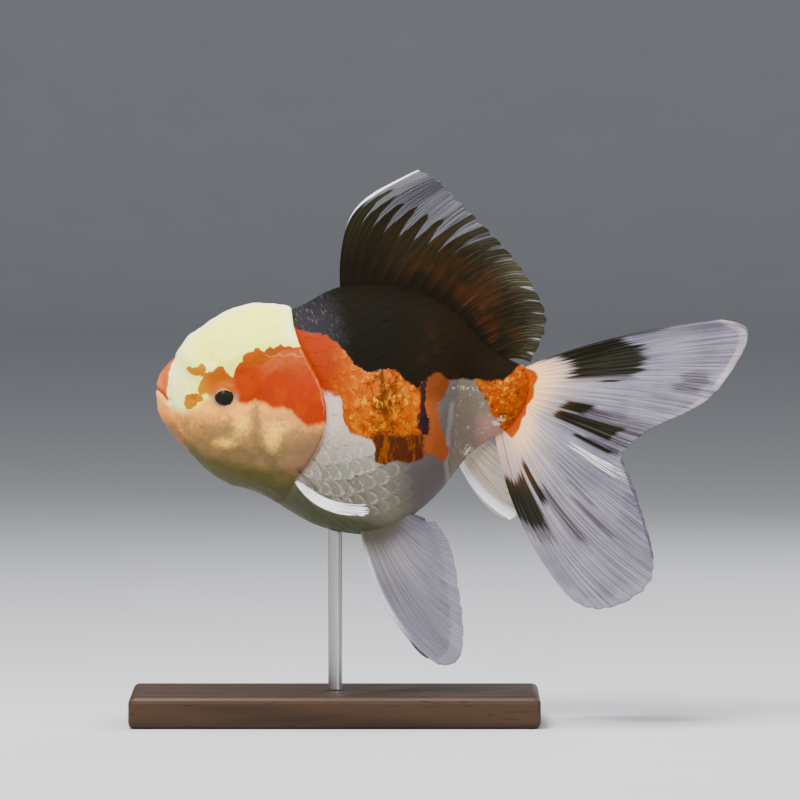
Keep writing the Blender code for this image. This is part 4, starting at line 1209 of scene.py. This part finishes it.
def dorsal_colour(across, out, place):
    lines = fine_lines(across, 190, out)
    patches = place.noise(170, 2)
    rust = out.band(0.08, 0.3, 0.5, 0.85) * across.fade(0.12, 0.45) * patches.fade(0.36, 0.6)
    ember = out.band(0.08, 0.16, 0.2, 0.34) * across.band(0.55, 0.68, 0.86, 0.93)
    ember = ember * lines.fade(0.6, 0.95) * patches.fade(0.4, 0.55)
    streaks = lines.fade(0.8, 1) * out.fade(0.45, 0.7) * across.fade(0.35, 0.55)
    glass = coats(
        (lines * 0.7).blend((0.062, 0.061, 0.07), (0.165, 0.165, 0.195)),
        (across.fade(0.55, 0.75) * patches.fade(0.4, 0.56) * 0.75, (0.42, 0.42, 0.44)),
        (lines.fade(0.2, 0.05) * 0.6, (0.035, 0.022, 0.024)),
    )
    white = across - out.graph(
        (0.3, -0.006), (0.45, -0.001), (0.55, 0.005), (0.68, 0.018), (0.8, 0.013), (1, 0.006))
    return coats(
        out.fade(0.1, 0.5).blend(BLACK, (0.015, 0.0125, 0.005)),
        (rust * 0.75, (0.04, 0.014, 0.0035)),
        (ember * 0.7, (0.085, 0.02, 0.003)),
        (out.fade(0.55, 0.95) * across.fade(0.3, 0.6) * 0.6, (0.062, 0.058, 0.034)),
        ((1 - lines) * 0.45, (0.007, 0.0055, 0.003)),
        (streaks * 0.2, (0.2, 0.19, 0.14)),
        (dorsal_wedges(across, out), glass),
        (white.fade(0.007, -0.003) * out.fade(0.36, 0.46), (0.74, 0.76, 0.9)),
    )


def dorsal_solid(across, out, ray):
    return (0.98 - dorsal_wedges(across, out) * 0.22 + ray * 0.05).least(1)


# ---------------------------------------------------------------- eyes, stand and dressing


def eye_material(name, centre):
    """A black pupil with a thin copper ring over it, in a brownish grey ball."""
    board = Board(name)
    x, _, z = board.place.parts()
    wide = (x - float(centre[0])) * (1 / (2.3 * UNIT))
    tall = (z - float(centre[2])) * (1 / (1.86 * UNIT))
    far = (wide**2 + tall**2).root()
    ring = far.band(1, 1.03, 1.07, 1.12) * tall.fade(0.2, 0.8)
    iris = board.place.noise(1800, 2).blend((0.04, 0.024, 0.013), (0.075, 0.045, 0.024))
    outer = tall.fade(-0.3, 0.8).blend((0.42, 0.25, 0.14), (0.33, 0.085, 0.016))
    iris = far.fade(1.06, 1.22).blend(iris, outer)
    colour = far.fade(0.99, 1.03).blend((0.012, 0.011, 0.008), iris)
    return board.finish(
        Base_Color=(ring * 0.9).blend(colour, (0.85, 0.32, 0.08)), Roughness=0.4,
        Specular_IOR_Level=0.04, Coat_Weight=0.04, Coat_Roughness=0.05,
    )


def wood_material():
    board = Board("dark_wood")
    values = {"Vector": board.place, "Scale": (6, 60, 60)}
    long = board.add("ShaderNodeMapping", {}, values)
    _, y, z = board.place.parts()
    rings = (y * 520 + z * 300 + long.noise(3, 4) * 7).wave() * 0.5 + 0.5
    pores = long.noise(24, 2).fade(0.6, 0.72)
    colour = rings.blend((0.022, 0.011, 0.006), (0.052, 0.026, 0.013))
    return board.finish(
        Base_Color=(pores * 0.6).blend(colour, (0.008, 0.004, 0.003)), Roughness=0.5 + pores * 0.2,
        Normal=(1 - pores).bump(0.00005, 0.4), Coat_Weight=0.04, Coat_Roughness=0.2,
        Specular_IOR_Level=0.2,
    )


def steel_material():
    board = Board("satin_steel")
    values = {"Vector": board.place, "Scale": (900, 900, 12)}
    grain = board.add("ShaderNodeMapping", {}, values).noise(1, 3)
    return board.finish(
        Base_Color=grain.blend((0.42, 0.42, 0.41), (0.58, 0.58, 0.57)), Metallic=1,
        Roughness=0.26 + grain * 0.16, Normal=grain.bump(0.00002, 0.3),
    )


def dress(obj, material):
    obj.data.materials.clear()
    obj.data.materials.append(material)


# ---------------------------------------------------------------- the fish


skin = make_skin()
dress(skin, skin_material())
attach(skin, "root")
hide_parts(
    "head", "hood", "gill_cover_left", "gill_cover_right", "upper_lip", "lower_jaw", "trunk",
    "tail_stalk",
)

scales = make_scales()
dress(scales, scale_material())
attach(scales, "root")

dorsal = make_fin(
    "dorsal_sheet", DORSAL_RAYS, 1, DORSAL_COUNT, 80, scallop=0.038, wave=0.35, ridge=0.16, corner=1.1
)
dress(dorsal, fin_material("dorsal_membrane", dorsal_colour, dorsal_solid))
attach(dorsal, "root")
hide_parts("dorsal_fin")

tail_skin = fin_material("tail_membrane", tail_colour, tail_solid)
fin_skin = fin_material("fin_membrane", pale_colour, pelvic_solid)
white_skin = fin_material("pectoral_membrane", white_colour, pale_solid)
anal_skin = fin_material("anal_membrane", anal_colour, pale_solid)
for word, side in (("left", -1), ("right", 1)):
    tail_bend, pelvic_bend, anal_bend = RIGHT_BENDS if side > 0 else (0, 0, 0)
    tail = make_fin(
        f"tail_sheet_{word}", TAIL_RAYS, side, 26, 110, bend=tail_bend, wave=0.45, scallop=0.007, fray=0.003
    )
    pelvic = make_fin(f"pelvic_sheet_{word}", PELVIC_RAYS, side, 12, 70, bend=pelvic_bend, late=0.55)
    pectoral = make_fin(f"pectoral_sheet_{word}", PECTORAL_RAYS, side, 9, 50, scallop=0.08, fray=0.02)
    anal = make_fin(f"anal_sheet_{word}", ANAL_RAYS, side, 9, 50, bend=anal_bend)
    for piece, finish, nodes in (
        (tail, tail_skin, (f"tail_upper_{word}", f"tail_lower_{word}")),
        (pelvic, fin_skin, (f"pelvic_fin_{word}",)),
        (pectoral, white_skin, (f"pectoral_fin_{word}",)),
        (anal, anal_skin, (f"anal_fin_{word}",)),
    ):
        dress(piece, finish)
        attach(piece, "root")
        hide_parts(*nodes)
    ball, centre = make_eye(f"eye_ball_{word}", f"eye_{word}")
    dress(ball, eye_material(f"eye_ball_{word}", centre))
    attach(ball, "root")
    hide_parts(f"eye_{word}")

dress(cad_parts["stand_base"], wood_material())
dress(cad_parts["stand_rod"], steel_material())


# ---------------------------------------------------------------- studio


def make_floor():
    """A pale sweep: flat under the stand, then a quarter circle up into a wall."""
    turn = np.linspace(0, math.pi / 2, 24)
    depth = np.concatenate([[-4, 3.4], 3.4 + 0.8 * np.sin(turn[1:]), [4.2]])
    height = np.concatenate([[0, 0], 0.8 - 0.8 * np.cos(turn[1:]), [3.5]])
    x = np.array([-4, 4])
    grid = np.stack(np.broadcast_arrays(x[:, None], depth[None], height[None]), axis=-1)
    floor = build_mesh("studio_floor", grid.reshape(-1, 3), [grid_faces(2, len(depth), False)])
    if floor.data.polygons[0].normal.z < 0:
        floor.data.flip_normals()
    board = Board("pale_floor")
    colour = board.place.noise(30, 3).blend((0.5, 0.51, 0.53), (0.54, 0.55, 0.57))
    dress(floor, board.finish(Base_Color=colour, Roughness=0.8))


def lamp(name, place, aim, size, power, colour):
    data = bpy.data.lights.new(name, "AREA")
    data.shape, data.size, data.energy, data.color = "DISK", size, power, colour
    obj = bpy.data.objects.new(name, data)
    bpy.context.scene.collection.objects.link(obj)
    obj.location = place
    obj.rotation_euler = (Vector(aim) - Vector(place)).to_track_quat("-Z", "Y").to_euler()


make_floor()
hood = (SNOUT_X + 22 * UNIT, -0.01, AXIS_Z + 10 * UNIT)
lamp("key", (-0.3, -0.62, 0.86), (0.01, 0, 0.09), 0.42, 19, (1, 0.985, 0.96))
lamp("fill", (0.85, -0.85, 0.4), (0.02, 0, 0.08), 0.7, 5, (0.95, 0.97, 1))
lamp("top", (0.05, 0.12, 0.95), (0, 0, 0.08), 0.5, 8, (1, 1, 1))
lamp("hood", (-0.085, -0.075, 0.4), hood, 0.14, 0.9, (1, 0.99, 0.96))
lamp("back", (0.45, 0.75, 0.55), (0, 0, 0.1), 0.5, 5, (1, 1, 1))

world = bpy.data.worlds.new("studio")
bpy.context.scene.world = world
world.use_nodes = True
background = world.node_tree.nodes["Background"].inputs
background["Color"].default_value = (0.9, 0.93, 1, 1)
background["Strength"].default_value = 0.3

# The view is square on to the fish's left side from just above its level, with a long lens.
FIELD = 0.2034  # the width of the view at the fish
DISTANCE, LIFT = 3, math.radians(2)
aim = np.array([SNOUT_X + 61.7 * UNIT, 0, AXIS_Z - 1.7 * UNIT])
camera_data = bpy.data.cameras.new("camera")
camera = bpy.data.objects.new("camera", camera_data)
bpy.context.scene.collection.objects.link(camera)
camera.location = aim + DISTANCE * np.array([0, -math.cos(LIFT), math.sin(LIFT)])
camera.rotation_euler = (math.pi / 2 - LIFT, 0, 0)
camera_data.sensor_width = 36
camera_data.lens = 36 * DISTANCE / FIELD
camera_data.clip_end = 50
bpy.context.scene.camera = camera
